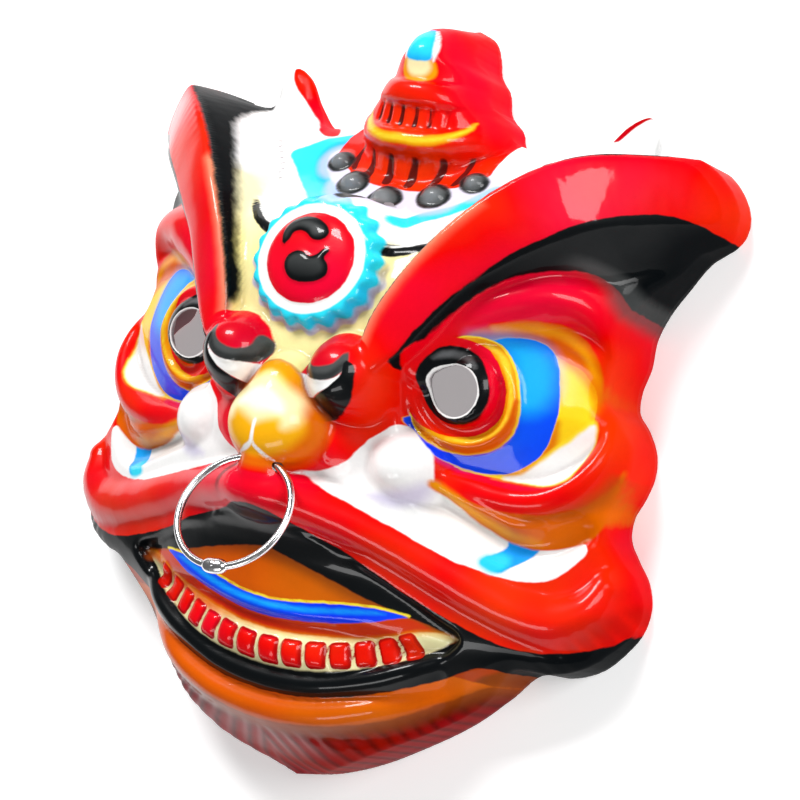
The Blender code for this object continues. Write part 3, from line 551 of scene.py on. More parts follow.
@dataclass
class Nose:
    """Nose ball, nostrils, cheek puffs and the curls at the foot of the brows."""

    hollow: Rows = ((50, -14, 5, 5, 5), (62, -18.5, 7, 5, 7), (72, -22, 8, 6, 8), (83, -25, 8, 7, 8),
                    (93, -22, 6, 7, 6), (101, -14, 4, 6, 4))
    cheek: tuple[float, ...] = (41.5, -6.5, 14.5, 14.0, 67, 13, 2.3)
    nostril: tuple[float, ...] = (14, -4, 22, 17, 72, 12, 2.5)
    ball: tuple[float, ...] = (0, -3, 20.5, 18, 87.6, 16, 3.4)
    bridge: tuple[float, ...] = (0, 9.5, 13.5, 14, 86, 14, 2.6)
    curl: tuple[float, ...] = (22.6, 19, 14, 14.2, 87, 12, 2.8)
    curl_groove: float = 0.8

    def height(self, x: Field, y: Field, z: Field) -> Field:
        """Height with the nose."""
        z = z - np.maximum(roll(x, y, self.hollow), 0)
        z = smooth_max(z, dome(x, y, self.cheek), 2.0)
        z = smooth_max(z, dome(x, y, self.nostril), 3.0)
        z = smooth_max(z, smooth_max(dome(x, y, self.ball), dome(x, y, self.bridge), 7.0), 1.5)
        z = smooth_max(z, dome(x, y, self.curl), 1.5)
        distance, width = path_distance(x, y, ((12, 20.5, 0.5), (14, 15.5, 1), (19, 12.8, 1),
                                        (24.5, 14.8, 1), (27.2, 20, 0.8), (27.6, 25, 0.3)))
        return z - self.curl_groove * ease(1.6, 0.0, distance) * np.minimum(width, 1)

    def pear(self, place: Place) -> Field:
        """Distance within the pear shape of the nose."""
        half = ((0, 18.6), (5.2, 17.4), (8.6, 15), (10.8, 11.4), (13, 8.4), (16, 4.8), (19, 1),
                (19.6, -4.4), (16.6, -10.8), (11, -15.6), (5.6, -18), (0, -18.6))
        return depth_inside(place.x, place.y, half + tuple((-x, y) for x, y in half[-2:0:-1]))

    def coats(self) -> list[Coat]:
        """Paint of the muzzle, the curls and the nose."""
        muzzle = ((11, -18.5), (14.3, -17.9), (19.1, -19.6), (24.8, -21.7), (31, -23.6), (36.9, -25.4),
                  (42.7, -27.1), (48.6, -28.8), (55.3, -31), (61.6, -32.9), (67.5, -34.4), (72.9, -35.2),
                  (78.5, -35.8), (84.2, -36), (89.7, -35.4), (93.9, -34.2), (97.8, -32.2), (101.3, -28),
                  (103.7, -24.2), (105.4, -20), (104.3, -18.2), (98.9, -20.2), (94.5, -22.2),
                  (90.5, -23.4), (87, -24), (83.3, -23.7), (78.5, -23), (73.4, -21), (69.1, -19.4),
                  (66.1, -17.6), (63.3, -15.6), (59.9, -13.6), (56.6, -11.6), (55.6, -6), (53.6, -0.4),
                  (49.4, 3), (45, 6), (41.8, 7), (38.9, 5.4), (36.1, 2.6), (33.6, 0.3), (30.7, -4.6),
                  (28.2, -8.8), (22.9, -13), (17.7, -15.4), (13, -17))
        return [
            Coat("muzzle", Colour.WHITE, blot(*muzzle), 0.7),
            Coat("puff_shade", Colour.LAVENDER, stroke((36, -19.6, 0.6), (43, -18.9, 2.6),
                 (50, -16.2, 2.6), (55, -11.4, 1.4)), 4.5, even(0.75)),
            Coat("bar", Colour.SKY, blot((79, -21.8), (84, -23.4), (89.4, -23.4), (87.4, -27.6),
                 (84.2, -32), (81.6, -34.6), (77.4, -34), (74.6, -32.8), (77.2, -28.6), (79, -25)), 1.0),
            Coat("bar_light", Colour.CYAN, blot((74, -33), (78.4, -28), (81, -28.6), (83, -31.4),
                 (80.4, -35), (76, -34.6)), 3.0),
            Coat("under_lid", Colour.ORANGE, blot((54.8, -9), (59, -10.8), (64.3, -12.4), (70.2, -13.5),
                 (77.7, -13.9), (85, -13.2), (91.7, -11.8), (97.8, -8.9), (102.8, -5.5), (106.5, -0.9),
                 (109.1, 3.8), (110.9, 10), (110.4, 4), (108.9, -3), (107.9, -8.9), (106.9, -13),
                 (105, -16.4), (98.9, -20.5), (94.5, -22.4), (90.5, -23.6), (87, -24.2), (83.3, -23.9),
                 (78.5, -23.4), (73.4, -21.6), (69.1, -19.9), (66.1, -18.2), (63.3, -16.2), (59.9, -14.4),
                 (57.1, -13), (54.6, -11.6)), 1.2),
            Coat("under_lid_dark", Colour.BROWN, stroke((86, -14.4, 0.6), (95, -11, 1.2),
                 (102.5, -6, 1.6), (107.4, 0, 1.6), (109.6, 6, 1)), 4.0, even(0.7)),
            Coat("under_lid_gold", Colour.GOLD, stroke((56, -10.4, 1.2), (63, -14, 1.6), (70, -17.6, 1.7),
                 (79, -20.6, 1.5), (89, -21.6, 1.2)), 3.4,
                 lambda place: 0.9 - 0.75 * ease(66, 100, place.across)),
            Coat("curl", Colour.RED, lambda place: 14.6 - np.hypot(place.across - 22.6, place.y - 19), 0.7),
            Coat("curl_top", Colour.CRIMSON, blot((11.6, 25), (14, 20.6), (18.6, 19), (23, 20.4),
                 (25.4, 25), (20, 30.4), (14, 29.4)), 4.0, even(0.5)),
            Coat("curl_crescent", Colour.CHARCOAL, blot((9.4, 25.2), (8.2, 19.6), (10.2, 16.6),
                 (14, 15.1), (19, 14.4), (23.2, 15.1), (26.8, 17.2), (29.3, 20.4), (29.2, 23.6),
                 (27.6, 26.6), (25.4, 22.2), (22.6, 20.3), (19.4, 19.4), (15.8, 19.5), (13.2, 21.4),
                 (12.2, 26.2)), 1.0),
            Coat("curl_dark", Colour.BLACK, stroke((9.6, 23.4, 0.4), (10.2, 19, 1.1), (14.2, 16.5, 1.2),
                 (20, 15.8, 1.2), (25.4, 17.8, 1.2), (28.3, 22, 0.8)), 2.2, even(0.65)),
            Coat("curl_white", Colour.WHITE, blot((6.5, 15.8), (9, 16), (14, 15.3), (19, 14.6),
                 (23.6, 15.4), (27.2, 17.6), (29.2, 20.6), (28, 16.6), (25, 13.2), (20.8, 10.9), (16, 9),
                 (12, 8.2), (8, 9.6)), 0.7),
            Coat("curl_black", Colour.BLACK, blot((28.6, 23.4), (30.6, 22.6), (32, 16.6), (30.8, 10.4),
                 (26.4, 5.6), (20.8, 2.6), (17, 1.2), (13.4, 4), (11, 7.8), (16.4, 9), (20.9, 11),
                 (25.4, 14.2), (28.2, 18.2)), 0.6),
            Coat("nose_line", Colour.BROWN, lambda place: self.pear(place) + 0.5, 0.9,
                 lambda place: 0.7 * ease(-8, 6, place.y)),
            Coat("nose", Colour.GOLD, self.pear, 1.4),
            # Painted light on the nose ball: orange shade where it turns away at the edges and lower down,
            # yellower toward the top, and a soft cream highlight with a white one inside it.
            Coat("nose_edge_shade", Colour.ORANGE, lambda place: 2.4 - np.abs(self.pear(place) - 0.8), 3.6,
                 lambda place: 0.85 * ease(16, 4, place.y)),
            Coat("nose_lit_top", Colour.YELLOW, lambda place: self.pear(place) - 4.0, 4.0,
                 lambda place: 0.35 + 0.5 * ease(-8, 8, place.y)),
            Coat("nose_highlight", Colour.CREAM, blot((-12.5, -7), (-13, 0), (-10.5, 7), (-7, 12), (0, 14),
                 (6, 11), (12.6, 7), (14.6, 1), (13.4, -3), (10.6, -4.4), (8.8, -1.2), (5, -2.2),
                 (2.6, -3.2), (0, -4.6), (-2.6, -3.2), (-5, -2.2), (-8.8, -1.2), (-10.4, -4)), 4.5,
                 even(0.9)),
            Coat("nose_shine", Colour.WHITE, blot((-7, 1), (-6, 5), (0, 8), (7, 5.4), (9.4, 1.4), (5, 1),
                 (0, 0), (-4, 1)), 4.0, even(0.8)),
            Coat("nose_mark", Colour.WHITE, stroke((0, -3.4, 0.8), (0, -8.6, 0.7), (0.3, -11, 0.7),
                 (2.9, -13.3, 0.75), (7.2, -15.6, 0.3)), 0.8),
        ]


@dataclass
class Mouth:
    """Lips, open mouth with gum and teeth, and the rolls of the jaw."""

    upper_lip: Rows = ((0, -26.5, 84.2, 7.5, 5), (7, -26.7, 82.7, 7.7, 5), (16, -27.5, 77.8, 8, 5.5),
                       (27, -29.2, 71.5, 8.5, 6), (38, -31.9, 65, 9, 6.5), (50, -35.3, 58.8, 9.5, 7),
                       (62, -39.2, 53, 10, 7.5), (75, -43.5, 46.5, 11, 8.5), (88, -46.5, 40.5, 12, 10),
                       (99, -46, 35.5, 13, 11), (108, -40, 30.5, 12, 11), (112, -31, 25.5, 10, 11))
    lip_undercut: float = 1.35
    septum: Rows = ((0, -10, 84.8, 8, 5), (0, -17, 84, 8, 5), (0, -22, 84, 8.5, 4.5))
    gum: Rows = ((-8, -66, 57.3, 3, 3), (8, -66, 57.3, 3, 3), (22, -64.5, 54.5, 3, 3),
                 (38, -61.5, 50, 2.8, 3), (51.5, -58, 43, 2, 3))
    jaw: Rows = ((-8, -91.8, 48.5, 5.5, 5), (8, -91.6, 48.5, 5.5, 5), (20, -90, 47.8, 5.3, 5),
                 (33, -86.3, 46.4, 5, 5), (46, -80.9, 44.8, 5, 5), (56.5, -74.8, 41.4, 4.8, 5),
                 (65, -68.6, 35, 4.6, 5), (74, -61.5, 27, 4.5, 5))
    chin: Rows = ((-8, -102, 46, 6, 5), (8, -102, 46, 6, 5), (25, -99.3, 45.3, 6, 5),
                  (45, -91.5, 40.8, 6, 6), (57, -84.5, 32.5, 5.8, 6), (68, -76, 23, 5.5, 6),
                  (78, -67.5, 15, 5, 6))
    opening: Rows = ((0, -33.5), (20, -37.5), (35, -43.5), (50, -50), (62, -55.5), (71, -60.5), (67, -66),
                     (58, -72.5), (46, -79), (32, -85), (16, -88.5), (0, -90))
    along: Rows = ((-92, 44), (-88, 46.5), (-84, 50.5), (-80, 52), (-75, 51.5), (-70, 51.5), (-63, 57),
                   (-56, 59), (-48, 61), (-42, 65), (-36, 70))
    tooth_row: tuple[float, ...] = (-81.5, 14.0, 54.7)
    tooth_pairs: int = 7
    tooth_height: float = 2.2
    groove_depth: float = 0.7

    def tooth_distance(self, x: Field, y: Field) -> Field:
        """Distance outside the nearest tooth."""
        middle, rise, reach = self.tooth_row
        best = np.full(x.shape, 9.0)
        for pair in range(self.tooth_pairs):
            place = (pair + 0.5) / self.tooth_pairs
            tooth_x = (69 - 11 * place) * place
            tooth_y = middle + rise * (tooth_x / reach) ** 2
            turn = math.atan2(2 * rise * tooth_x, reach ** 2)
            along = (x - tooth_x) * math.cos(turn) + (y - tooth_y) * math.sin(turn)
            up = (y - tooth_y) * math.cos(turn) - (x - tooth_x) * math.sin(turn)
            side = np.abs(along) - (4.0 - 1.1 * place) * 7 / self.tooth_pairs + 1.4
            end = np.abs(up) - (4.9 - 0.7 * place) + 1.4
            corner = np.hypot(np.maximum(side, 0),
                              np.maximum(end, 0)) + np.minimum(np.maximum(side, end), 0)
            best = np.minimum(best, corner - 1.4)
        return best

    def height(self, x: Field, y: Field, z: Field) -> Field:
        """Height with the mouth and jaw."""
        ring = self.opening + tuple((-a, b) for a, b in self.opening[-2:0:-1])
        share = ease(-1.5, 1.5, depth_inside(x, y, ring))
        z = z * (1 - share) + (stations(self.along, y) - 0.0052 * x ** 2) * share
        z = smooth_max(z, roll(x, y, self.upper_lip, self.lip_undercut), 2.0)
        z = smooth_max(z, roll(x, y, self.septum), 1.0)
        z = smooth_max(z, roll(x, y, self.gum), 1.0)
        z = z + self.tooth_height * ease(0.5, -1.3, self.tooth_distance(x, y))
        z = smooth_max(z, roll(x, y, self.jaw), 1.5)
        z = smooth_max(z, roll(x, y, self.chin), 1.5)
        slant = (x * 0.80 + (y + 108) * 0.62) / 6.2 + 0.25 * np.sin(x / 9.0)
        groove = np.maximum(1 - (np.abs(slant - np.round(slant)) / 0.26) ** 2, 0)
        place = ease(-108, -113, y + 0.0052 * x ** 2 * -1) * ease(-131, -125, y)
        return z - self.groove_depth * groove * place

    def coats(self) -> list[Coat]:
        """Paint of the lips, the mouth and the jaw."""
        lip_edge = ((0, -31.9), (6, -32.7), (12, -34.5), (17, -36.2), (22, -37.8), (30.5, -40.3),
                    (38.5, -43.4), (45, -46.4), (51.1, -49), (57.2, -51.3), (63.4, -53.4), (69.8, -55.3),
                    (76.1, -57), (82.2, -58.3), (88.1, -59), (93.7, -58.8), (99, -57.9), (104.1, -56.5),
                    (109, -54.6), (113.6, -52.2), (117.7, -49.2), (120.5, -46), (123.5, -43))
        jaw_low = ((132, -74), (112, -76), (98, -72.5), (89, -69.4), (82, -68), (76, -69.6),
                   (71.9, -71.9), (67.8, -74.3), (62.4, -77.8), (56.3, -81.5), (49.5, -85), (42, -88.3),
                   (34, -91.2), (26.1, -93.4), (17.5, -95.3), (8.4, -96.3), (0, -96.6))
        orange_low = ((132, -80), (96, -75), (80, -74.4), (70.9, -80), (66.5, -83), (61.8, -86.6),
                      (55.9, -91), (48.6, -95.4), (41.9, -98.6), (34.6, -101.2), (26.7, -103.5),
                      (17.8, -105.4), (9, -106.7), (0, -107.3))
        blue_up = ((0, -63.8), (8, -63.3), (16, -62), (24, -60.4), (32, -58.9), (41.7, -57.5),
                   (48, -57.2), (53.4, -57.5))
        blue_low = ((49, -59.2), (44.5, -61.2), (38.5, -63.4), (30.5, -65.6), (22, -67.5), (13, -69),
                    (5, -69.8), (0, -70))
        gum_up = ((0, -74.5), (5, -74.4), (11, -74), (18, -73), (24.5, -72), (32.3, -70.5), (39.7, -68.5),
                  (47.1, -66), (53.4, -63.4), (57.1, -61.8), (60.4, -60.9), (63.6, -60.4), (67.2, -60.8))
        gum_low = ((69.4, -61), (67.3, -62.3), (64.5, -64.6), (60.4, -67.8), (54.8, -71.7), (48.6, -75.1),
                   (42.1, -78.3), (36.3, -80.7), (28.8, -83.3), (21, -85.2), (14.4, -86.3), (7.3, -87),
                   (0, -87.2))
        # Lower edge of the painted shadow under the orange band, a little below that band.
        shadow_low = tuple((a, b - 3.4) for a, b in orange_low[1:])

        def teeth(place: Place) -> Field:
            """Distance within the nearest tooth."""
            return 0.25 - self.tooth_distance(place.across, place.y)

        def streak(place: Place) -> Field:
            """Number of combed streaks passed on the way across the chin."""
            return (place.across * 0.80 + (place.y + 108) * 0.62) / 6.2 + 0.25 * np.sin(place.across / 9.0)

        return [
            Coat("chin", Colour.DEEP_RED, blot((-20, -85), (60, -85), (84, -68), (100, -62), (110, -80),
                 (60, -140), (-20, -140)), 1.5),
            Coat("chin_streaks", Colour.CRIMSON,
                 lambda place: 1.6 - 4.0 * np.abs(np.mod(streak(place) + 0.5, 1) - 0.5), 2.4,
                 lambda place: 0.55 * ease(-108, -114, place.y - 0.0052 * place.x ** 2)),
            # Painted shadow: a soft brown band on the chin just under the orange jaw band.
            Coat("under_orange_shadow", Colour.BROWN, blot((-9, -90), (60, -74), (100, -60), *shadow_low,
                 (-9, -110.6)), 5.0, even(0.7)),
            Coat("orange", Colour.ORANGE, blot(*((-9, -90), (60, -74)) + orange_low + ((-9, -107),)), 1.0),
            Coat("orange_shade", Colour.BROWN, stroke(*((a, b, 0.6) for a, b in orange_low[:0:-1])), 3.0,
                 even(0.6)),
            Coat("lip_shade", Colour.CRIMSON, stroke((16, -33.4, 1.5), (30, -37.6, 2.5), (45, -43, 2.5),
                 (60, -48.6, 2.5), (80, -54, 3), (100, -53.6, 3), (116, -44, 3)), 5.0, even(0.5)),
            Coat("jaw_black", Colour.BLACK, blot(*((-9, -31.7),) + lip_edge + jaw_low + ((-9, -96.4),)),
                 0.6),
            Coat("mouth", Colour.BROWN, blot((-8, -46.2), (0, -45.9), (6.2, -46.8), (13.9, -48.4),
                 (20.4, -50), (29.1, -52.2), (35.8, -54), (42.3, -55.6), (48.3, -56.6), (52.9, -57.4),
                 (59.8, -58.6), (66.9, -60.3), (69.4, -61), (64.5, -64.4), (54.8, -71.7), (42.1, -78.2),
                 (28.8, -83.2), (14.4, -86), (0, -87), (-8, -86.6)), 0.8),
            Coat("mouth_orange", Colour.ORANGE, blot((-8, -50), (0, -49.6), (10, -50.4), (22, -53.2),
                 (34, -56.4), (44, -58.6), (56, -61), (44, -66), (20, -70), (-8, -70)), 6.0, even(0.85)),
            Coat("gum_rust", Colour.RUST, blot(*((-9, -68),) + blue_low[::-1] + ((53, -58), (62, -60),)
                                               + gum_up[::-1] + ((-9, -77),)), 1.6),
            Coat("gum", Colour.CREAM, blot(*((-9, -74.3),) + gum_up + gum_low + ((-9, -87),)), 1.0),
            Coat("gum_gold", Colour.GOLD, stroke(*((a, b - 0.3, 0.7) for a, b in gum_up)), 2.4,
                 lambda place: 0.6 + 0.4 * ease(10, -40, place.x)),
            Coat("gum_left", Colour.ORANGE, stroke(*((a, b - 1.2, 1.8) for a, b in gum_up)), 3.0,
                 lambda place: 0.85 * ease(-8, -28, place.x)),
            Coat("blue_line", Colour.LEMON, stroke(*((a, b + 0.35, 0.55) for a, b in blue_up)), 0.7),
            Coat("blue_band", Colour.BLUE, blot(*((-9, -63.7),) + blue_up + blue_low + ((-9, -70),)), 0.6),
            Coat("blue_sheen", Colour.SKY, stroke((0, -65.9, 0.9), (16, -64.4, 0.9), (30, -61.6, 0.9),
                 (41, -59.2, 0.7), (46, -58.4, 0.2)), 1.8, even(0.8)),
            Coat("teeth", Colour.CRIMSON, teeth, 0.4),
            Coat("teeth_face", Colour.RED, lambda place: teeth(place) - 0.9, 1.0),
        ]


@dataclass
class Button:
    """Round forehead button in a scalloped frill, with two raised commas."""

    centre_y: float = 56.0
    radius: float = 17.0
    oval: tuple[float, float] = (1.05, 0.97)
    scallops: int = 20
    comma_rise: float = 1.0
    upper_comma: Rows = ((-10.4, 58.6), (-12.6, 62.6), (-11.6, 66.4), (-8.2, 69.2), (-3.4, 70.3),
                         (1.3, 69.4), (4.7, 67.8), (6.4, 65.8), (5.6, 63.5), (2.9, 62.3), (0.1, 62.6),
                         (-2.6, 64.2), (-5.6, 64.6), (-7.8, 63.4), (-8.9, 60.8))
    lower_comma: Rows = ((-7.5, 51.8), (-7.1, 55), (-4.3, 57.1), (-0.8, 57.4), (2, 56.2), (4.6, 57.2),
                         (7.4, 60.2), (8.8, 59.6), (7.8, 56.8), (9.8, 54.2), (10.3, 51.4), (8.1, 48.8),
                         (4.4, 47.2), (-0.7, 46.7), (-5, 48.2))

    def commas(self, x: Field, y: Field) -> Field:
        """Distance within the two commas, which are not mirrored."""
        return np.maximum(depth_inside(x, y, self.upper_comma), depth_inside(x, y, self.lower_comma))

    def around(self, x: Field, y: Field) -> tuple[Field, Field]:
        """Distance from the middle, evened out along the oval, and angle around it."""
        right, up = x / self.oval[0], (y - self.centre_y) / self.oval[1]
        return np.hypot(right, up), np.arctan2(right, up)

    def scalloped(self, x: Field, y: Field) -> Field:
        """Distance from the middle, shortened at each scallop of the frill."""
        radius, angle = self.around(x, y)
        return radius + 0.9 * np.cos(self.scallops * angle)

    def height(self, x: Field, y: Field, z: Field) -> Field:
        """Height with the button, for signed places."""
        radius, angle = self.around(x, y)
        level = 76.5 - 0.10 * (y - self.centre_y)
        frill = level + 1.2 - 0.12 * np.maximum(radius - 21, 0) ** 2
        frill = frill - 6.0 * ease(22.0, 26.5, self.scalloped(x, y))
        pleat = 0.35 * np.cos(self.scallops * angle) * ease(20.5, 23, radius)
        z = np.where(radius < 28, smooth_max(z, frill - pleat, 0.8), z)
        knob = level + 1.0 + 4.5 * np.sqrt(np.maximum(1 - (radius / self.radius) ** 2, 0))
        knob = knob + self.comma_rise * ease(-0.3, 1.3, self.commas(x, y))
        return np.where(radius < self.radius, np.maximum(z, knob), z)

    def coats(self) -> list[Coat]:
        """Paint of the button."""
        def radial(edge: float) -> Callable[[Place], Field]:
            """Region within a radius of the middle."""
            return lambda place: edge - self.around(place.x, place.y)[0]

        return [
            # Painted shade: lavender on the outer slope of the frill, stronger toward its lower side.
            Coat("frill_foot_shade", Colour.LAVENDER, lambda place: 26.6 - self.scalloped(place.x, place.y),
                 1.2, lambda place: 0.9 * ease(62, 48, place.y)),
            Coat("frill", Colour.CYAN, lambda place: 24.6 - self.scalloped(place.x, place.y), 0.8),
            Coat("frill_shade", Colour.SKY,
                 lambda place: 1.3 - np.abs(24.0 - self.scalloped(place.x, place.y)), 2.0,
                 lambda place: 0.5 * ease(60, 44, place.y)),
            Coat("button_rim", Colour.WHITE, radial(20.6), 0.9),
            Coat("button", Colour.RED, radial(16.9), 0.5),
            Coat("comma_edge", Colour.CRIMSON, lambda place: self.commas(place.x, place.y) + 1.0, 1.4,
                 even(0.4)),
            Coat("commas", Colour.BLACK, lambda place: self.commas(place.x, place.y), 0.5),
            Coat("comma_sheen", Colour.CHARCOAL, lambda place: self.commas(place.x, place.y) - 1.6, 2.4,
                 lambda place: 0.7 * ease(46, 58, place.y)),
        ]


@dataclass
class Horn:
    """Horn in three fluted tiers, with balls of fluff at its foot."""

    along: Rows = ((88, 20), (92, 29.5), (96, 33.5), (103, 36), (105.5, 40), (109, 41.5), (112, 40.6),
                   (114, 38), (121, 38.8), (123.5, 42), (127, 43), (130, 42), (131.8, 38.8), (135, 39.6),
                   (142, 43), (146, 41.4), (150, 37), (154, 28), (158, 12), (162, 0))
    half_width: Rows = ((86, 25), (92, 28.5), (98, 30.5), (104, 32), (112, 32), (119, 31.6), (123, 29.5),
                        (127, 25.5), (131, 23), (136, 21.5), (139, 19.5), (142, 15.5), (146, 14),
                        (152, 12), (158, 8), (162, 2))
    tiers: Rows = ((91, 105, 0.33, 34), (113, 123, 0.19, 18))
    fluff: Rows = ((0, 85.8, 7.5, 6, 44.5, 7, 2.4), (17.5, 90.4, 7, 5.6, 40, 7, 2.4),
                   (29, 98.6, 6, 4.8, 33.5, 7, 2.4))
    flute_depth: float = 1.5

    def sag(self, x: Field, y: Field) -> Field:
        """Place along the horn, with its tiers drooping to the sides."""
        return y - 9.0 * np.clip(x / 30, 0, 1.1) ** 2.5

    def fluting(self, x: Field, y: Field) -> Field:
        """Share of the depth of the flutes of both tiers."""
        sag = self.sag(x, y)
        angle = np.arcsin(np.clip(x / stations(self.half_width, y), 0, 1))
        total = np.zeros(np.shape(sag))
        for foot, top, pitch, reach in self.tiers:
            around = angle / pitch + 0.5
            flute = np.maximum(1 - ((around - np.round(around)) / 0.24) ** 2, 0)
            drum = ease(foot, foot + 2, sag) * ease(top, top - 2, sag) * ease(reach, reach - 4, x)
            total = total + flute * drum
        return total

    def height(self, x: Field, y: Field, z: Field) -> Field:
        """Height with the horn."""
        sag = self.sag(x, y)
        half_width = stations(self.half_width, y)
        body = stations(self.along, sag) * np.maximum(1 - (x / half_width) ** 2.1, 0) ** (1 / 2.1)
        body = body - self.flute_depth * self.fluting(x, y) - 30 * ease(95, 88, y)
        z = np.where((y > 84) & (x < half_width + 2), smooth_max(z, body, 1.5), z)
        for ball in self.fluff:
            lump = dome(x, y, ball) - 0.5 * np.abs(np.sin(1.3 * (x - ball[0]) + 0.8 * (y - ball[1])))
            z = smooth_max(z, np.maximum(lump, -9.0), 1.0)
        return z

    def coats(self) -> list[Coat]:
        """Paint of the horn and the fluff."""
        def body(place: Place) -> Field:
            """Distance within the horn."""
            width = stations(self.half_width, place.y)
            return np.minimum(width + 1.0 - place.across, self.sag(place.across, place.y) - 90.8)

        def flute_paint(place: Place) -> Field:
            """Distance within the dark strokes in the flutes."""
            sag = self.sag(place.across, place.y)
            high = sag > 109
            top = np.where(high, 122, 104)
            shown = np.where(high, ease(10, 8, place.x), ease(29, 26, place.x)) * ease(-26, -23, place.x)
            wide = self.fluting(place.across, place.y) * shown
            return (wide * ease(91, 92.5, sag) - 0.35 - 0.4 * ease(top - 11, top, sag)) * 2.2

        def balls(shrink: float) -> Callable[[Place], Field]:
            """Region of the fluff balls, smaller by the given distance."""
            def region(place: Place) -> Field:
                """Distance within the nearest ball."""
                best = np.full(place.x.shape, -9.0)
                for ball in self.fluff:
                    reach = np.hypot((place.across - ball[0]) / ball[2], (place.y - ball[1]) / ball[3])
                    best = np.maximum(best, (1 - reach) * ball[3])
                return best - shrink
            return region

        arc = ((0, 108.9, 1.9), (8, 109.2, 1.9), (15.5, 111.8, 1.8), (20.5, 116.5, 1.2), (22.6, 121, 0.2))
        return [
            Coat("fluff_halo", Colour.LAVENDER, balls(-3.2), 3.0, even(0.65)),
            Coat("horn", Colour.RED, body, 0.6),
            Coat("flutes", Colour.BLACK, flute_paint, 0.8, even(0.85)),
            Coat("tier_line", Colour.GOLD, stroke(*arc), 1.4),
            Coat("tier_line_light", Colour.LEMON, stroke(*((a, b, w * 0.35) for a, b, w in arc)), 1.6,
                 even(0.8)),
            Coat("tip_gold", Colour.GOLD, blot((-7.6, 131.4), (0, 130.8), (4.6, 131.6), (7, 134),
                 (6.2, 138.6), (0, 138.6), (-9, 138.6), (-9.6, 134)), 1.4),
            Coat("tip_cream", Colour.CREAM, blot((-5, 134), (0, 132.8), (3.4, 133.6), (5, 136),
                 (4, 139.5), (-5, 139.5)), 2.5),
            Coat("tip_blue", Colour.SKY, blot((-8, 138), (0, 138), (5.2, 139.2), (5.2, 143.6), (3.8, 148),
                 (1.4, 151), (-3, 151), (-8, 146)), 0.8),
            Coat("tip_light", Colour.CYAN, blot((0, 139), (5, 140), (5, 144), (2, 149), (-2, 149),
                 (-4, 144)), 4.0, even(0.7)),
            Coat("tip_white", Colour.WHITE, stroke((5.8, 138.8, 0.4), (5.9, 143, 0.7), (4.6, 147.4, 0.7),
                 (2, 150.8, 0.4)), 1.0),
            Coat("fluff", Colour.CHARCOAL, balls(0.4), 1.4),
            Coat("fluff_light", Colour.GREY, balls(2.8), 3.0, even(0.75)),
            Coat("fluff_dark", Colour.BLACK, lambda place: 0.6 - np.abs(balls(1.0)(place)), 1.0,
                 even(0.85)),
        ]


@dataclass
class Edge:
    """Outline of the face, and how its skin rounds over toward it."""

    half: Rows = ((0, -128.5), (16, -124), (31, -117), (50, -104.5), (67.5, -90.5), (79, -78),
                  (88, -67.5), (100, -65.5), (110, -60.5), (117.5, -52), (122, -43.5), (122.8, -35),
                  (119.5, -26), (113.5, -19), (109.2, -13), (108.3, -6), (110.8, 2), (112.3, 10),
                  (111, 18), (106, 26), (100.8, 31.5), (99.8, 38), (101.2, 48), (100.8, 58), (103.5, 68),
                  (108.5, 78), (114, 88), (123.6, 97.6), (124.6, 100), (114.6, 119.6), (112.6, 120.8),
                  (99, 121.3), (87, 119), (84.5, 121), (83.2, 131), (78, 137), (72.5, 134.5), (63, 123),
                  (53, 114.5), (45, 114.5), (36, 118), (30.3, 119.5), (28, 124.5), (21.5, 130),
                  (18.3, 138.5), (13, 144.5), (10.8, 151), (6.8, 157.5), (0, 160.5))
    rounding: float = 6.0

    def distance(self, x: Field, y: Field) -> Field:
        """Distance within the outline, negative outside."""
        half = spline(self.half, 6)
        distance, _, _ = nearest(x, y, half)
        ring = np.vstack([half, [(-40.0, half[-1][1]), (-40.0, half[0][1])]])
        return np.where(inside(x, y, ring), distance, -distance)

    def drop(self, z: Field, edge: Field) -> Field:
        """How far the skin drops near the outline."""
        short = np.clip(1 - edge / self.rounding, 0.0, 1.0)
        return np.minimum(0.75 * self.rounding, 0.5 * np.maximum(z, 0.0)) * short ** 2.5


@dataclass
class RingSeat:
    """Circle of the nose ring: where it passes through the lip and how far it swings out."""

    hole: tuple[float, float, float] = (7.9, -17.3, 78.8)
    radius: float = 21.4
    wire_radius: float = 1.3
    clearance: float = 0.6
    swing: float = math.radians(23.0)

    @property
    def hang(self) -> Vector:
        """Direction in which the ring hangs."""
        return Vector((0.0, -math.cos(self.swing), math.sin(self.swing)))

    @property
    def middle(self) -> Vector:
        """Drawn place of the middle of the ring."""
        drop = math.sqrt(self.radius ** 2 - self.hole[0] ** 2)
        return Vector((0.0, self.hole[1], self.hole[2])) + drop * self.hang

    def distance(self, place: Place) -> Field:
        """Distance outside the tunnel of the ring."""
        middle, hang = self.middle, self.hang
        normal = Vector((1.0, 0.0, 0.0)).cross(hang)
        offset = np.stack([place.x, place.y - middle.y, place.z - middle.z], axis=-1)
        out_of_plane = offset @ np.array(normal)
        in_plane = np.hypot(place.x, offset @ np.array(hang))
        return np.hypot(in_plane - self.radius, out_of_plane) - self.wire_radius - self.clearance


# The skin

@dataclass
class Table:
    """Fine table of heights, read between its places."""

    x: Field
    y: Field
    values: Field

    def read(self, x: Field, y: Field) -> Field:
        """Values at places, one column each."""
        step = self.x[1] - self.x[0]
        across = np.clip((x - self.x[0]) / step, 0, len(self.x) - 1.001)
        along = np.clip((y - self.y[0]) / step, 0, len(self.y) - 1.001)
        i, j = along.astype(int), across.astype(int)
        a, b = (along - i)[:, None], (across - j)[:, None]
        v = self.values
        return ((v[i, j] * (1 - b) + v[i, j + 1] * b) * (1 - a)
                + (v[i + 1, j] * (1 - b) + v[i + 1, j + 1] * b) * a)


@dataclass
class Skin:
    """Points and faces of one side of the mask's wall."""

    points: Field
    faces: list[list[int]]
    loops: list[list[int]] = field(default_factory=list)


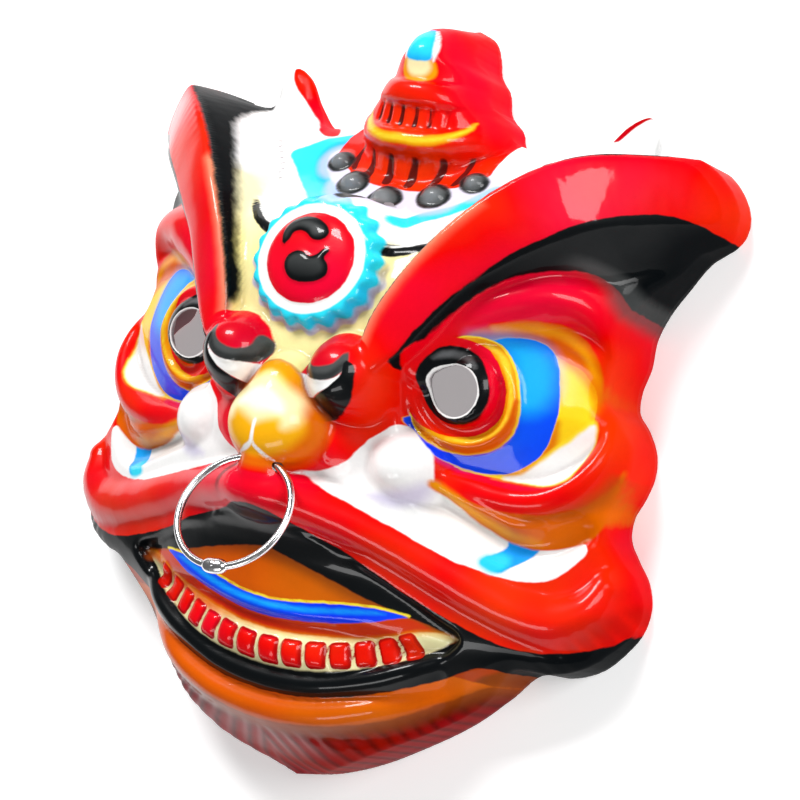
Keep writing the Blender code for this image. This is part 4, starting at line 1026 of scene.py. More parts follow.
@dataclass
class MaskShell:
    """The formed face: relief, wall, holes and paint."""

    face: FaceAndBrows = field(default_factory=FaceAndBrows)
    eyes: Eyes = field(default_factory=Eyes)
    nose: Nose = field(default_factory=Nose)
    mouth: Mouth = field(default_factory=Mouth)
    button: Button = field(default_factory=Button)
    horn: Horn = field(default_factory=Horn)
    edge: Edge = field(default_factory=Edge)
    ring: RingSeat = field(default_factory=RingSeat)
    wall: float = 1.2
    draft: float = 0.04
    outer_step: float = 0.92
    inner_step: float = 2.2
    table_step: float = 0.5
    chin_y: float = CHIN_Y
    length: float = FACE_LENGTH
    outer_rounds: int = 26
    inner_rounds: int = 14
    outer_rows: int = 8
    inner_rows: int = 3

    def relief(self, x: Field, y: Field) -> tuple[Field, Field]:
        """Height and distance within the outline at signed drawn places."""
        across = np.abs(x)
        z = self.face.height(across, y)
        z = self.eyes.height(across, y, z)
        z = self.nose.height(across, y, z)
        z = self.mouth.height(across, y, z)
        z = self.button.height(x, y, z)
        z = self.horn.height(across, y, z)
        edge = self.edge.distance(across, y)
        return z - self.edge.drop(z, edge), edge

    def tables(self) -> tuple[Table, Table]:
        """Fine tables of the outer and the inner skin: height, two slopes and distance in the outline."""
        step = self.table_step
        x = np.arange(-128.0, 128.01, step)
        y = np.arange(self.chin_y - 4, self.chin_y + self.length + 4.01, step)
        height, edge = self.relief(*np.meshgrid(x, y))
        inner = self.sunk(height, step)
        made = []
        for level in (height, inner):
            along, across = np.gradient(level, step)
            made.append(Table(x, y, np.stack([level, across, along, edge], axis=-1)))
        return made[0], made[1]

    def sunk(self, height: Field, step: float) -> Field:
        """The form lowered by an even wall."""
        rows, columns = height.shape
        around = np.pad(height, 1, mode="edge")
        steepest = np.zeros(height.shape)
        lowest = height.copy()
        for i, j in ((-1, -1), (-1, 0), (-1, 1), (0, -1), (0, 1), (1, -1), (1, 0), (1, 1)):
            other = around[1 + i:1 + i + rows, 1 + j:1 + j + columns]
            steepest = np.maximum(steepest, (height - other) / (step * math.hypot(i, j)))
            lowest = np.minimum(lowest, other)
        lowered = np.maximum(height - self.wall * np.sqrt(1 + steepest ** 2), lowest - self.wall)
        for _ in range(3):
            around = np.pad(lowered, 1, mode="edge")
            mean = (around[:-2, 1:-1] + around[2:, 1:-1] + around[1:-1, :-2] + around[1:-1, 2:]) / 4
            lowered = np.minimum(0.5 * (lowered + mean), height - self.wall)
        return lowered

    def keep(self, x: Field, y: Field, z: Field, edge: Field, inset: float) -> Field:
        """Distance within the part of a skin that stays: inside the outline and outside the holes."""
        place = Place(x, y, z)
        within = edge - inset - self.draft * z
        return np.minimum(np.minimum(within, self.eyes.hole(place)), self.ring.distance(place))

    def skin(self, table: Table, step: float, inset: float, rounds: int) -> Skin:
        """One side of the wall, cut to the outline and the holes.

        Args:
            table: heights of this side.
            step: spacing of the grid.
            inset: distance of its rim inside the outline.
            rounds: passes that even out the spacing of the points on steep places.

        Returns:
            The skin, with the closed loops of its free edges.
        """
        x, y = np.meshgrid(np.arange(-126.96, 127.0, step), np.arange(self.chin_y - 3, self.chin_y + 292,
                           step))
        levels = table.read(x.ravel(), y.ravel()).reshape(x.shape + (4,))
        z, slope_x, slope_y, edge = levels.transpose(2, 0, 1)
        within = self.keep(x, y, z, edge, inset)
        points, faces = self.cut_grid(x, y, z, within, step)
        skin = Skin(points, faces)
        mesh = bpy.data.meshes.new("draft")
        mesh.from_pydata(points.tolist(), [], faces)
        ends = np.zeros(len(mesh.edges) * 2, int)
        mesh.edges.foreach_get("vertices", ends)
        ends = ends.reshape(-1, 2)
        uses = np.zeros(len(mesh.loops), int)
        mesh.loops.foreach_get("edge_index", uses)
        free = ends[np.bincount(uses, minlength=len(ends)) == 1]
        bpy.data.meshes.remove(mesh)
        fixed = np.zeros(len(points), bool)
        fixed[free.ravel()] = True
        count = np.maximum(np.bincount(ends.ravel(), minlength=len(points)), 1)
        for _ in range(rounds):
            mean = self.mean_of_neighbours(points, ends, count)
            level, across, along, _ = table.read(points[:, 0], points[:, 1]).T
            normal = np.stack([-across, -along, np.ones(len(points))], axis=-1)
            normal /= np.linalg.norm(normal, axis=1)[:, None]
            move = mean - points
            move -= np.sum(move * normal, axis=1)[:, None] * normal
            points[~fixed, :2] += 0.6 * move[~fixed, :2]
            points[~fixed, 2] = table.read(points[~fixed, 0], points[~fixed, 1])[:, 0]
        for _ in range(2):
            mean = self.mean_of_neighbours(points, ends, count)
            points[~fixed] += 0.35 * (mean - points)[~fixed]
        skin.points = points
        skin.loops = self.chain(free)
        return skin

    @staticmethod
    def mean_of_neighbours(points: Field, ends: Field, count: Field) -> Field:
        """Middle of each point's neighbours."""
        total = np.stack([np.bincount(ends[:, 0], points[ends[:, 1], k],
                         len(points)) + np.bincount(ends[:, 1], points[ends[:, 0], k],
                         len(points)) for k in range(3)], axis=-1)
        return total / count[:, None]

    @staticmethod
    def chain(edges: Field) -> list[list[int]]:
        """Closed loops of free edges, each in order."""
        onward: dict[int, list[int]] = {}
        for a, b in edges.tolist():
            onward.setdefault(a, []).append(b)
            onward.setdefault(b, []).append(a)
        loops, seen = [], set()
        for start in onward:
            if start in seen:
                continue
            loop, last, here = [start], -1, start
            seen.add(start)
            while True:
                ahead = [v for v in onward[here] if v != last and v not in seen]
                if not ahead:
                    break
                last, here = here, ahead[0]
                seen.add(here)
                loop.append(here)
            loops.append(loop)
        return loops

    @staticmethod
    def cut_grid(x: Field, y: Field, z: Field, within: Field, step: float) -> tuple[Field, list[list[int]]]:
        """Part of a grid where the given distance is positive, with a crisp edge.

        Args:
            x: places across.
            y: places along.
            z: heights.
            within: distance that is positive where the grid stays.
            step: spacing of the grid.

        Returns:
            Points, and faces as lists of their indices.
        """
        slope_y, slope_x = np.gradient(within, step)
        fall_y, fall_x = np.gradient(z, step)
        snap = np.abs(within) < 0.3 * step
        move_x = np.where(snap, -within * slope_x, 0.0)
        move_y = np.where(snap, -within * slope_y, 0.0)
        place = np.stack([x + move_x, y + move_y, z + fall_x * move_x + fall_y * move_y], axis=-1)
        within = np.where(snap, 0.0, within)
        stays = within >= 0
        corners = (stays[:-1, :-1], stays[:-1, 1:], stays[1:, 1:], stays[1:, :-1])
        highest = np.maximum.reduce([within[:-1, :-1], within[:-1, 1:], within[1:, 1:], within[1:, :-1]])
        whole = np.logical_and.reduce(corners) & (highest > 0)
        cut = (highest > 0) & ~whole
        index = -np.ones(x.shape, int)
        points: list[Field] = []
        faces: list[list[int]] = []
        known: dict[tuple, int] = {}

        def corner(i: int, j: int) -> int:
            """Index of a grid corner."""
            if index[i, j] < 0:
                index[i, j] = len(points)
                points.append(place[i, j])
            return int(index[i, j])

        for i, j in np.argwhere(whole):
            faces.append([corner(i, j), corner(i, j + 1), corner(i + 1, j + 1), corner(i + 1, j)])
        for i, j in np.argwhere(cut):
            cell = [(i, j), (i, j + 1), (i + 1, j + 1), (i + 1, j)]
            face = []
            for a, b in zip(cell, cell[1:] + cell[:1]):
                if within[a] >= 0:
                    face.append(corner(*a))
                if within[a] * within[b] < 0:
                    key = (min(a, b), max(a, b))
                    if key not in known:
                        known[key] = len(points)
                        low, high = key
                        t = within[low] / (within[low] - within[high])
                        points.append(place[low] + t * (place[high] - place[low]))
                    face.append(known[key])
            if len(face) > 2:
                faces.append(face)
        return np.array(points), faces

    def with_walls(self, skin: Skin, rings: int) -> tuple[list[int], dict[str, list[int]]]:
        """Adds the drafted side wall down to the rim.

        Args:
            skin: one side of the wall. Its points and faces grow.
            rings: rows of faces down the wall.

        Returns:
            The loop on the rim, and the loops of the holes by name.
        """
        outline = max(skin.loops, key=len)
        holes = {}
        for loop in skin.loops:
            middle = skin.points[loop].mean(axis=0)
            if loop is not outline and len(loop) > 5:
                kind = "pupil" if abs(middle[0]) > 30 else "ring"
                holes[kind + ("_right" if middle[0] > 0 else "_left")] = loop
        top = skin.points[outline]
        run = np.roll(top[:, :2], -1, axis=0) - np.roll(top[:, :2], 1, axis=0)
        out = np.stack([run[:, 1], -run[:, 0]], axis=-1)
        out /= np.maximum(np.linalg.norm(out, axis=1), 1e-9)[:, None]
        area = np.sum(top[:, 0] * np.roll(top[:, 1], -1) - top[:, 1] * np.roll(top[:, 0], -1))
        out = out if area > 0 else -out
        above = list(outline)
        points = [skin.points]
        total = len(skin.points)
        for ring in range(1, rings + 1):
            level = top[:, 2] * (1 - ring / rings)
            place = np.column_stack([top[:, :2] + out * (self.draft * (top[:, 2] - level))[:, None], level])
            points.append(place)
            below = list(range(total, total + len(outline)))
            total += len(outline)
            for k in range(len(outline)):
                after = (k + 1) % len(outline)
                skin.faces.append([above[k], above[after], below[after], below[k]])
            above = below
        skin.points = np.vstack(points)
        return above, holes

    def mesh(self) -> bpy.types.Mesh:
        """Closed mesh of the whole shell in metres, with the inside marked as its lining."""
        outer_table, inner_table = self.tables()
        outer = self.skin(outer_table, self.outer_step, 0.0, self.outer_rounds)
        inner = self.skin(inner_table, self.inner_step, self.wall, self.inner_rounds)
        outer_rim, outer_holes = self.with_walls(outer, self.outer_rows)
        inner_rim, inner_holes = self.with_walls(inner, self.inner_rows)
        shift = len(outer.points)
        points = np.vstack([outer.points, inner.points])
        points[:, 2] = np.maximum(points[:, 2], 0.0)
        inside_share = np.r_[np.zeros(shift), np.ones(len(inner.points))]
        faces = outer.faces + [[v + shift for v in face] for face in inner.faces]
        real = (points - (0.0, self.chin_y + self.length / 2, 0.0)) * MM
        mesh = bpy.data.meshes.new("mask_shell_paint")
        mesh.from_pydata(real.tolist(), [], faces)
        body = bmesh.new()
        body.from_mesh(mesh)
        layer = body.verts.layers.float.new("lining")
        body.verts.ensure_lookup_table()
        for vert in body.verts:
            vert[layer] = inside_share[vert.index]

        def edges(loop: list[int], offset: int) -> list[bmesh.types.BMEdge]:
            """Edges of a closed loop."""
            verts = [body.verts[v + offset] for v in loop]
            found = [body.edges.get((a, b)) for a, b in zip(verts, verts[1:] + verts[:1])]
            return [edge for edge in found if edge is not None]

        rim = edges(outer_rim, 0) + edges(inner_rim, shift)
        bmesh.ops.triangle_fill(body, edges=rim, use_beauty=True, use_dissolve=False)
        for name, loop in outer_holes.items():
            if name in inner_holes:
                bmesh.ops.bridge_loops(body, edges=edges(loop, 0) + edges(inner_holes[name], shift))
        bmesh.ops.delete(body, geom=[v for v in body.verts if not v.link_faces], context="VERTS")
        bmesh.ops.recalc_face_normals(body, faces=body.faces[:])
        body.to_mesh(mesh)
        body.free()
        for polygon in mesh.polygons:
            polygon.use_smooth = True
        log.info("shell skin: %d outer and %d inner points, holes %s", shift, len(inner.points),
                 sorted(outer_holes))
        return mesh

    def coats(self) -> list[Coat]:
        """All coats of paint, the first one lowest."""
        return (self.face.coats() + self.eyes.coats() + self.mouth.coats() + self.nose.coats()
                + self.button.coats() + self.horn.coats())

    def build(self) -> bpy.types.Object:
        """Makes the shell and puts its paint on it."""
        mesh = self.mesh()
        shell = bpy.data.objects.new("mask_shell_paint", mesh)
        bpy.context.scene.collection.objects.link(shell)
        count = len(mesh.vertices)
        spots = np.zeros(count * 3)
        mesh.vertices.foreach_get("co", spots)
        spots = spots.reshape(-1, 3) / MM
        place = Place(spots[:, 0], spots[:, 1] + self.chin_y + self.length / 2, spots[:, 2])
        for coat in self.coats():
            write_attribute(mesh, coat.name, coat.region(place))
            if coat.share is not None:
                write_attribute(mesh, coat.name + "_share", coat.share(place))
        # The clear lacquer runs thin on steep walls and toward the rim.
        facing = np.zeros(count * 3)
        mesh.vertex_normals.foreach_get("vector", facing)
        steep = ease(0.62, 0.30, np.abs(facing[2::3]))
        rim = ease(13.0, 1.0, self.edge.distance(place.across, place.y))
        write_attribute(mesh, "thin_lacquer", 1 - (1 - steep) * (1 - rim))
        write_attribute(mesh, "crease", self.creases(mesh, spots))
        mesh.materials.append(GlossPaint().material("mask_paint", self.coats()))
        return shell

    def creases(self, mesh: bpy.types.Mesh, spots: Field) -> Field:
        """Bend of the skin at each point: above 0 in hollows and below 0 on ridges."""
        ends = np.zeros(len(mesh.edges) * 2, int)
        mesh.edges.foreach_get("vertices", ends)
        ends = ends.reshape(-1, 2)
        normals = np.zeros(len(spots) * 3)
        mesh.vertices.foreach_get("normal", normals)
        normals = normals.reshape(-1, 3)
        count = np.maximum(np.bincount(ends.ravel(), minlength=len(spots)), 1)
        lift = np.sum((self.mean_of_neighbours(spots, ends, count) - spots) * normals, axis=1)
        run = np.linalg.norm(spots[ends[:, 0]] - spots[ends[:, 1]], axis=1)
        length = np.bincount(ends[:, 0], run, len(spots)) + np.bincount(ends[:, 1], run, len(spots))
        length = length / count
        bend = lift / np.maximum(length, 0.2) ** 2
        for _ in range(3):
            mean = (np.bincount(ends[:, 0], bend[ends[:, 1]], len(bend))
                    + np.bincount(ends[:, 1], bend[ends[:, 0]], len(bend))) / count
            bend = 0.5 * (bend + mean)
        return bend


def write_attribute(mesh: bpy.types.Mesh, name: str, values: Field) -> None:
    """Stores one number for each point of a mesh."""
    layer = mesh.attributes.new(name, "FLOAT", "POINT")
    layer.data.foreach_set("value", np.ascontiguousarray(values, np.float32))


# Finishes

@dataclass
class NodeBench:
    """Lays out shader nodes and links them."""

    tree: bpy.types.NodeTree
    column: int = 0

    def add(self, kind: str, **settings: object) -> bpy.types.Node:
        """New node with its properties set."""
        node = self.tree.nodes.new(kind)
        node.location = (self.column * 40, (self.column % 12) * -160)
        self.column += 1
        for name, value in settings.items():
            setattr(node, name, value)
        return node

    def feed(self, socket: bpy.types.NodeSocket, value: object) -> None:
        """Links a socket to another, or gives it a value."""
        if isinstance(value, bpy.types.NodeSocket):
            self.tree.links.new(value, socket)
        else:
            socket.default_value = value

    def math(self, operation: str, *values: object) -> bpy.types.NodeSocket:
        """Arithmetic on numbers or sockets."""
        node = self.add("ShaderNodeMath", operation=operation)
        for socket, value in zip(node.inputs, values):
            self.feed(socket, value)
        return node.outputs[0]

    def attribute(self, name: str) -> bpy.types.NodeSocket:
        """Number stored on the points of the mesh."""
        return self.add("ShaderNodeAttribute", attribute_name=name).outputs["Fac"]

    def noise(self, vector: bpy.types.NodeSocket, scale: float, detail: float,
              roughness: float = 0.5) -> bpy.types.NodeSocket:
        """Value of a noise pattern."""
        node = self.add("ShaderNodeTexNoise")
        self.feed(node.inputs["Vector"], vector)
        self.feed(node.inputs["Scale"], scale)
        self.feed(node.inputs["Detail"], detail)
        self.feed(node.inputs["Roughness"], roughness)
        return node.outputs["Fac"]

    def span(self, value: object, low: float, high: float, to_low: float = 0.0, to_high: float = 1.0,
             smooth: bool = True) -> bpy.types.NodeSocket:
        """Spreads a range of values over another range."""
        node = self.add("ShaderNodeMapRange", interpolation_type="SMOOTHSTEP" if smooth else "LINEAR")
        for name, number in (("Value", value), ("From Min", low), ("From Max", high), ("To Min", to_low),
                             ("To Max", to_high)):
            self.feed(node.inputs[name], number)
        return node.outputs["Result"]

    def blend(self, share: object, under: object, over: object, mode: str = "MIX") -> bpy.types.NodeSocket:
        """Lays one colour over another."""
        node = self.add("ShaderNodeMix", data_type="RGBA", blend_type=mode)
        self.feed(node.inputs[0], share)
        self.feed(node.inputs[6], under)
        self.feed(node.inputs[7], over)
        return node.outputs[2]


@dataclass(frozen=True)
class GlossPaint:
    """Sprayed paint under a clear gloss coat on formed plastic."""

    base: Colour = Colour.RED
    roughness: float = 0.32
    coat: float = 0.55
    coat_roughness: float = 0.06
    coat_ior: float = 1.4
    specular: float = 0.08
    thinnest: float = 0.08
    wander: float = 0.22
    ripple_size: float = 75.0
    peel_size: float = 1100.0

    def material(self, name: str, coats: list[Coat]) -> bpy.types.Material:
        """Builds the material.

        Args:
            name: name of the material.
            coats: coats of paint, the first one lowest.

        Returns:
            The finished material.
        """
        made = bpy.data.materials.new(name)
        made.use_nodes = True
        bench = NodeBench(made.node_tree)
        shader = next(n for n in made.node_tree.nodes if n.type == "BSDF_PRINCIPLED")
        where = bench.add("ShaderNodeTexCoord").outputs["Object"]
        waver = bench.span(bench.noise(where, 210.0, 2.0), 0.25, 0.75, -self.wander, self.wander, False)
        colour: object = self.base.linear
        for coat in coats:
            reach = bench.math("ADD", bench.attribute(coat.name), waver)
            share = bench.span(reach, -coat.softness / 2, coat.softness / 2)
            if coat.share is not None:
                share = bench.math("MULTIPLY", share, bench.attribute(coat.name + "_share"))
            colour = bench.blend(share, colour, coat.colour.linear)
        lining = bench.attribute("lining")
        crease = bench.attribute("crease")
        cloud = bench.noise(where, 28.0, 3.0)
        grain = bench.noise(where, 620.0, 2.0, 0.6)
        tone = bench.math("ADD", bench.span(cloud, 0.3, 0.7, 0.90, 1.03, False),
                          bench.span(grain, 0.2, 0.8, -0.025, 0.025, False))
        hue = bench.add("ShaderNodeHueSaturation")
        bench.feed(hue.inputs["Hue"], bench.span(bench.noise(where, 17.0, 2.0), 0.3, 0.7, 0.494, 0.506,
                   False))
        bench.feed(hue.inputs["Value"], tone)
        bench.feed(hue.inputs["Color"], colour)
        # Painted shade: the colour darkens in creases and hollows, where shade falls; then ridges are rubbed
        # paler by wear.
        crease_shade = bench.span(crease, 0.02, 0.22, 0.0, 0.55)
        shaded_and_worn = bench.blend(crease_shade, hue.outputs["Color"], (0.18, 0.10, 0.09, 1.0), "MULTIPLY")
        rub = bench.math("MULTIPLY", bench.span(crease, -0.12, -0.30), bench.span(grain, 0.58, 0.68))
        shaded_and_worn = bench.blend(bench.math("MULTIPLY", rub, 0.30), shaded_and_worn, (0.80, 0.74, 0.70, 1.0))
        raw = bench.blend(0.80, shaded_and_worn, (0.30, 0.27, 0.29, 1.0))
        bench.feed(shader.inputs["Base Color"], bench.blend(lining, shaded_and_worn, raw))
        rough = bench.math("ADD", bench.span(cloud, 0.3, 0.7, self.roughness - 0.05,
                           self.roughness + 0.08, False), bench.math("MULTIPLY", crease_shade, 0.25))
        bench.feed(shader.inputs["Roughness"], bench.math("ADD", rough,
                   bench.math("MULTIPLY", lining, 0.2)))
        gloss = bench.span(bench.attribute("thin_lacquer"), 0.0, 1.0, 1.0, self.thinnest, False)
        bench.feed(shader.inputs["Coat Weight"], bench.math("MULTIPLY", gloss, self.coat))
        shader.inputs["Coat Roughness"].default_value = self.coat_roughness
        bench.feed(shader.inputs["Specular IOR Level"], bench.math("MULTIPLY", gloss, self.specular))
        shader.inputs["Coat IOR"].default_value = self.coat_ior
        ripple = bench.add("ShaderNodeBump")
        ripple.inputs["Strength"].default_value = 0.35
        ripple.inputs["Distance"].default_value = 0.0010
        bench.feed(ripple.inputs["Height"], bench.noise(where, self.ripple_size, 1.5, 0.4))
        peel = bench.add("ShaderNodeBump")
        peel.inputs["Strength"].default_value = 0.10
        peel.inputs["Distance"].default_value = 0.0002
        bench.feed(peel.inputs["Height"], bench.noise(where, self.peel_size, 2.0))
        bench.feed(peel.inputs["Normal"], ripple.outputs["Normal"])
        bench.feed(shader.inputs["Normal"], peel.outputs["Normal"])
        bench.feed(shader.inputs["Coat Normal"], ripple.outputs["Normal"])
        return made


@dataclass(frozen=True)
class Chrome:
    """Bright plated steel wire with fine drawing marks."""

    tone: tuple[float, float, float, float] = (0.93, 0.93, 0.94, 1.0)
    roughness: float = 0.18

    def material(self, name: str) -> bpy.types.Material:
        """Builds the material."""
        made = bpy.data.materials.new(name)
        made.use_nodes = True
        bench = NodeBench(made.node_tree)
        shader = next(n for n in made.node_tree.nodes if n.type == "BSDF_PRINCIPLED")
        where = bench.add("ShaderNodeTexCoord").outputs["Object"]
        cloud = bench.noise(where, 160.0, 3.0)
        fine = bench.noise(where, 2600.0, 2.0, 0.6)
        tarnish = bench.span(cloud, 0.52, 0.74)
        colour = bench.blend(bench.math("MULTIPLY", tarnish, 0.45), self.tone, (0.42, 0.40, 0.38, 1.0))
        bench.feed(shader.inputs["Base Color"], colour)
        rough = bench.math("ADD", bench.span(fine, 0.3, 0.7, self.roughness - 0.03, self.roughness + 0.07,
                           False), bench.math("MULTIPLY", tarnish, 0.15))
        bench.feed(shader.inputs["Roughness"], rough)
        shader.inputs["Metallic"].default_value = 1.0
        bump = bench.add("ShaderNodeBump")
        bump.inputs["Strength"].default_value = 0.15
        bump.inputs["Distance"].default_value = 0.00006
        bench.feed(bump.inputs["Height"], fine)
        bench.feed(shader.inputs["Normal"], bump.outputs["Normal"])
        return made


# The ring

@dataclass
class NoseRing:
    """Split wire ring with a hinge knuckle, swept along its circle by geometry nodes."""

    seat: RingSeat = field(default_factory=RingSeat)
    knuckle_radius: float = 2.7
    knuckle_length: float = 9.0
    knuckle_turn: float = math.radians(171.0)
    split_width: float = 0.44
    split_depth: float = 0.18
    steps: int = 360
    sides: int = 20

    def tree(self, finish: bpy.types.Material) -> bpy.types.NodeTree:
        """Node tree that sweeps the wire and swells it at the knuckle.

        Args:
            finish: material of the ring.

        Returns:
            The tree, with the sizes as named inputs in metres.
        """
        tree = bpy.data.node_groups.new("swept_ring", "GeometryNodeTree")
        for label, kind in (("Ring Radius", "NodeSocketFloat"), ("Wire Radius", "NodeSocketFloat"),
                            ("Knuckle Radius", "NodeSocketFloat"), ("Knuckle Length", "NodeSocketFloat"),
                            ("Steps", "NodeSocketInt"), ("Sides", "NodeSocketInt"),
                            ("Seed", "NodeSocketInt")):
            tree.interface.new_socket(label, in_out="INPUT", socket_type=kind)
        tree.interface.new_socket("Geometry", in_out="OUTPUT", socket_type="NodeSocketGeometry")
        nodes, links = tree.nodes, tree.links
        entry = nodes.new("NodeGroupInput")
        leave = nodes.new("NodeGroupOutput")

        def number(operation: str, a: object, b: object = 0.0) -> bpy.types.NodeSocket:
            """Arithmetic on numbers or sockets."""
            node = nodes.new("ShaderNodeMath")
            node.operation = operation
            for socket, value in zip(node.inputs, (a, b)):
                if isinstance(value, bpy.types.NodeSocket):
                    links.new(value, socket)
                else:
                    socket.default_value = value
            return node.outputs[0]

        circle = nodes.new("GeometryNodeCurvePrimitiveCircle")
        links.new(entry.outputs["Steps"], circle.inputs["Resolution"])
        links.new(entry.outputs["Ring Radius"], circle.inputs["Radius"])
        factor = nodes.new("GeometryNodeSplineParameter").outputs["Length"]
        around = number("MULTIPLY", entry.outputs["Ring Radius"], 2 * math.pi)
        away = number("MINIMUM", factor, number("SUBTRACT", around, factor))
        reach = number("DIVIDE", away, number("MULTIPLY", entry.outputs["Knuckle Length"], 0.5))
        swell = number("MAXIMUM", number("SUBTRACT", 1.0, number("POWER", reach, 4.0)), 0.0)
        extra = number("SUBTRACT", entry.outputs["Knuckle Radius"], entry.outputs["Wire Radius"])
        thick = number("ADD", entry.outputs["Wire Radius"], number("MULTIPLY", extra, swell))
        split_at = number("MULTIPLY", around, 0.5)
        gap = number("ABSOLUTE", number("SUBTRACT", factor, split_at))
        notch = number("GREATER_THAN", gap, self.split_width / 2 * MM)
        kept = number("ADD", 1 - self.split_depth, number("MULTIPLY", notch, self.split_depth))
        thick = number("MULTIPLY", thick, kept)
        radius = nodes.new("GeometryNodeSetCurveRadius")
        links.new(circle.outputs["Curve"], radius.inputs["Curve"])
        links.new(thick, radius.inputs["Radius"])
        profile = nodes.new("GeometryNodeCurvePrimitiveCircle")
        links.new(entry.outputs["Sides"], profile.inputs["Resolution"])
        profile.inputs["Radius"].default_value = 1.0
        sweep = nodes.new("GeometryNodeCurveToMesh")
        links.new(radius.outputs["Curve"], sweep.inputs["Curve"])
        links.new(profile.outputs["Curve"], sweep.inputs["Profile Curve"])
        if "Scale" in sweep.inputs:
            links.new(thick, sweep.inputs["Scale"])
        real = nodes.new("GeometryNodeRealizeInstances")
        links.new(sweep.outputs["Mesh"], real.inputs["Geometry"])
        paint = nodes.new("GeometryNodeSetMaterial")
        paint.inputs["Material"].default_value = finish
        links.new(real.outputs["Geometry"], paint.inputs["Geometry"])
        links.new(paint.outputs["Geometry"], leave.inputs["Geometry"])
        return tree

    def axes(self) -> Matrix:
        """Turns the flat circle, with its knuckle at +X, into the plane and place of the ring, in metres."""
        hang = self.seat.hang
        across = Vector((1.0, 0.0, 0.0))
        toward_knuckle = math.sin(self.knuckle_turn) * across - math.cos(self.knuckle_turn) * hang
        normal = across.cross(hang)
        side = normal.cross(toward_knuckle)
        middle = self.seat.middle
        turn = Matrix((toward_knuckle, side, normal)).transposed().to_4x4()
        place = Vector((middle.x, middle.y - CHIN_Y - FACE_LENGTH / 2, middle.z)) * MM
        return Matrix.Translation(place) @ turn

    def build(self) -> list[bpy.types.Object]:
        """Makes the ring and its hinge pin."""
        finish = Chrome().material("ring_chrome")
        carrier = bpy.data.objects.new("nose_ring_wire", bpy.data.meshes.new("ring_carrier"))
        bpy.context.scene.collection.objects.link(carrier)
        sweep = carrier.modifiers.new("sweep", "NODES")
        sweep.node_group = self.tree(finish)
        sizes = {"Ring Radius": self.seat.radius * MM, "Wire Radius": self.seat.wire_radius * MM,
                 "Knuckle Radius": self.knuckle_radius * MM, "Knuckle Length": self.knuckle_length * MM,
                 "Steps": self.steps, "Sides": self.sides, "Seed": 7}
        for item in sweep.node_group.interface.items_tree:
            if item.in_out == "INPUT" and item.name in sizes:
                sweep[item.identifier] = sizes[item.name]
        bpy.context.view_layer.update()
        graph = bpy.context.evaluated_depsgraph_get()
        mesh = bpy.data.meshes.new_from_object(carrier.evaluated_get(graph))
        carrier.modifiers.clear()
        carrier.data = mesh
        self.finish_mesh(mesh)
        pin = self.pin(finish)
        return [carrier, pin]

    def finish_mesh(self, mesh: bpy.types.Mesh) -> None:
        """Puts a mesh of the flat ring in its place, closed and facing out."""
        mesh.transform(self.axes())
        body = bmesh.new()
        body.from_mesh(mesh)
        bmesh.ops.remove_doubles(body, verts=body.verts[:], dist=1e-7)
        bmesh.ops.recalc_face_normals(body, faces=body.faces[:])
        for face in body.faces:
            face.smooth = True
        body.to_mesh(mesh)
        body.free()

    def pin(self, finish: bpy.types.Material) -> bpy.types.Object:
        """Domed rivet of the hinge, through the knuckle."""
        mesh = bpy.data.meshes.new("nose_ring_pin")
        body = bmesh.new()
        profile = [(0.0, 3.05), (0.7, 2.98), (1.15, 2.75), (1.3, 2.45), (1.3, -2.45), (1.15, -2.75),
                   (0.7, -2.98), (0.0, -3.05)]
        rings = []
        for radius, level in profile:
            turns = [2 * math.pi * k / self.sides for k in range(1 if radius == 0 else self.sides)]
            rings.append([body.verts.new(((self.seat.radius + radius * math.cos(turn)) * MM,
                                          radius * math.sin(turn) * MM, level * MM)) for turn in turns])
        for upper, lower in zip(rings[:-1], rings[1:]):
            for k in range(self.sides):
                loop = [upper[k % len(upper)], upper[(k + 1) % len(upper)], lower[(k + 1) % len(lower)],
                        lower[k % len(lower)]]
                body.faces.new(list(dict.fromkeys(loop)))
        body.to_mesh(mesh)
        body.free()
        mesh.materials.append(finish)
        pin = bpy.data.objects.new("nose_ring_pin", mesh)
        bpy.context.scene.collection.objects.link(pin)
        self.finish_mesh(mesh)
        return pin


# The studio

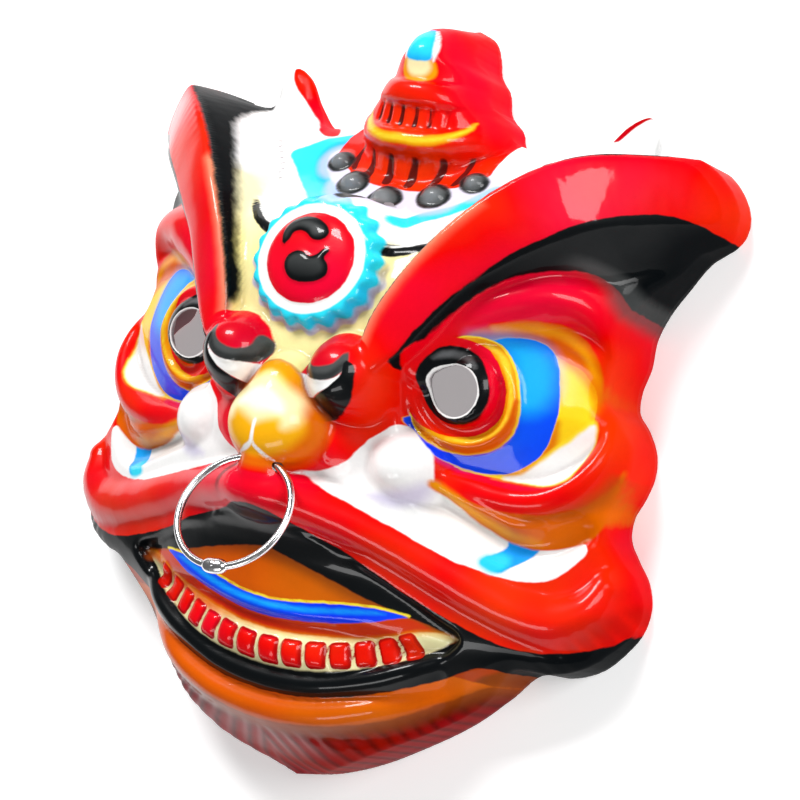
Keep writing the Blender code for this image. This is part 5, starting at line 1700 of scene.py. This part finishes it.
@dataclass
class Studio:
    """Pale floor, soft lights and the camera."""

    floor_half: float = 5.0
    floor_level: float = -0.0004
    floor_glow: float = 0.30
    lens: float = 99.0
    spot: tuple[float, float, float] = (0.42451, -0.02374, 0.71683)
    right: tuple[float, float, float] = (0.84066, 0.23884, -0.48605)
    up: tuple[float, float, float] = (-0.19116, 0.97059, 0.14632)
    back: tuple[float, float, float] = (0.50670, -0.03009, 0.86160)

    def build(self) -> None:
        """Makes the studio."""
        self.floor()
        self.light("key", (-0.35, 0.85, 0.95), (0.0, 0.0, 0.05), (0.55, 0.30), 17.0)
        self.light("fill", (1.0, 0.45, 0.75), (0.0, 0.0, 0.05), (0.5, 0.5), 8.0)
        self.light("front", (0.25, -1.1, 0.85), (0.0, 0.0, 0.05), (0.9, 0.35), 6.5)
        self.sky()
        self.camera()
        settings = bpy.context.scene.view_settings
        settings.view_transform = "Standard"
        settings.look = "None"

    def floor(self) -> None:
        """Plain pale floor under the rim."""
        mesh = bpy.data.meshes.new("studio_floor")
        half, level = self.floor_half, self.floor_level
        mesh.from_pydata([(-half, -half, level), (half, -half, level), (half, half, level),
                         (-half, half, level)], [], [(0, 1, 2, 3)])
        floor = bpy.data.objects.new("studio_floor", mesh)
        bpy.context.scene.collection.objects.link(floor)
        made = bpy.data.materials.new("studio_floor")
        made.use_nodes = True
        bench = NodeBench(made.node_tree)
        shader = next(n for n in made.node_tree.nodes if n.type == "BSDF_PRINCIPLED")
        where = bench.add("ShaderNodeTexCoord").outputs["Object"]
        tone = bench.blend(bench.span(bench.noise(where, 3.0, 2.0), 0.3, 0.7), (0.92, 0.92, 0.92, 1.0),
                           (0.95, 0.95, 0.95, 1.0))
        bench.feed(shader.inputs["Base Color"], tone)
        shader.inputs["Roughness"].default_value = 0.9
        shader.inputs["Emission Color"].default_value = (1.0, 1.0, 1.0, 1.0)
        shader.inputs["Emission Strength"].default_value = self.floor_glow
        mesh.materials.append(made)

    def light(self, name: str, spot: tuple[float, float, float], aim: tuple[float, float, float],
              size: tuple[float, float], power: float) -> None:
        """Adds a soft rectangular light that points at a place.

        Args:
            name: name of the light.
            spot: where it hangs, in metres.
            aim: where it points.
            size: its two sides, in metres.
            power: watts.
        """
        lamp = bpy.data.lights.new(name, "AREA")
        lamp.shape = "RECTANGLE"
        lamp.size, lamp.size_y = size
        lamp.energy = power
        hung = bpy.data.objects.new(name, lamp)
        hung.location = spot
        hung.rotation_euler = (Vector(aim) - Vector(spot)).to_track_quat("-Z", "Y").to_euler()
        bpy.context.scene.collection.objects.link(hung)

    def sky(self) -> None:
        """Even pale light from all round."""
        world = bpy.data.worlds.new("studio")
        world.use_nodes = True
        back = world.node_tree.nodes["Background"]
        back.inputs["Color"].default_value = (1.0, 1.0, 1.0, 1.0)
        back.inputs["Strength"].default_value = 0.12
        bpy.context.scene.world = world

    def camera(self) -> None:
        """Camera at the photo's angle."""
        lens = bpy.data.cameras.new("camera")
        lens.lens = self.lens
        lens.sensor_width = 36.0
        eye = bpy.data.objects.new("camera", lens)
        turn = Matrix((self.right, self.up, self.back)).transposed().to_4x4()
        eye.matrix_world = Matrix.Translation(self.spot) @ turn
        bpy.context.scene.collection.objects.link(eye)
        bpy.context.scene.camera = eye


def main() -> None:
    """Builds every piece in order and hands it to the frame."""
    logging.basicConfig(level=logging.INFO, format="%(name)s: %(message)s")
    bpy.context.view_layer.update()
    shell = MaskShell()
    skin = shell.build()
    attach(skin, "root")
    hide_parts("mask_shell")
    log.info("%s: %d faces, replaces mask_shell", skin.name, len(skin.data.polygons))
    for piece in NoseRing(seat=shell.ring).build():
        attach(piece, "root")
        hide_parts("nose_ring")
        log.info("%s: %d faces, replaces nose_ring", piece.name, len(piece.data.polygons))
    Studio().build()
    log.info("studio: floor, lights and camera")


if __name__ == "__main__":
    main()
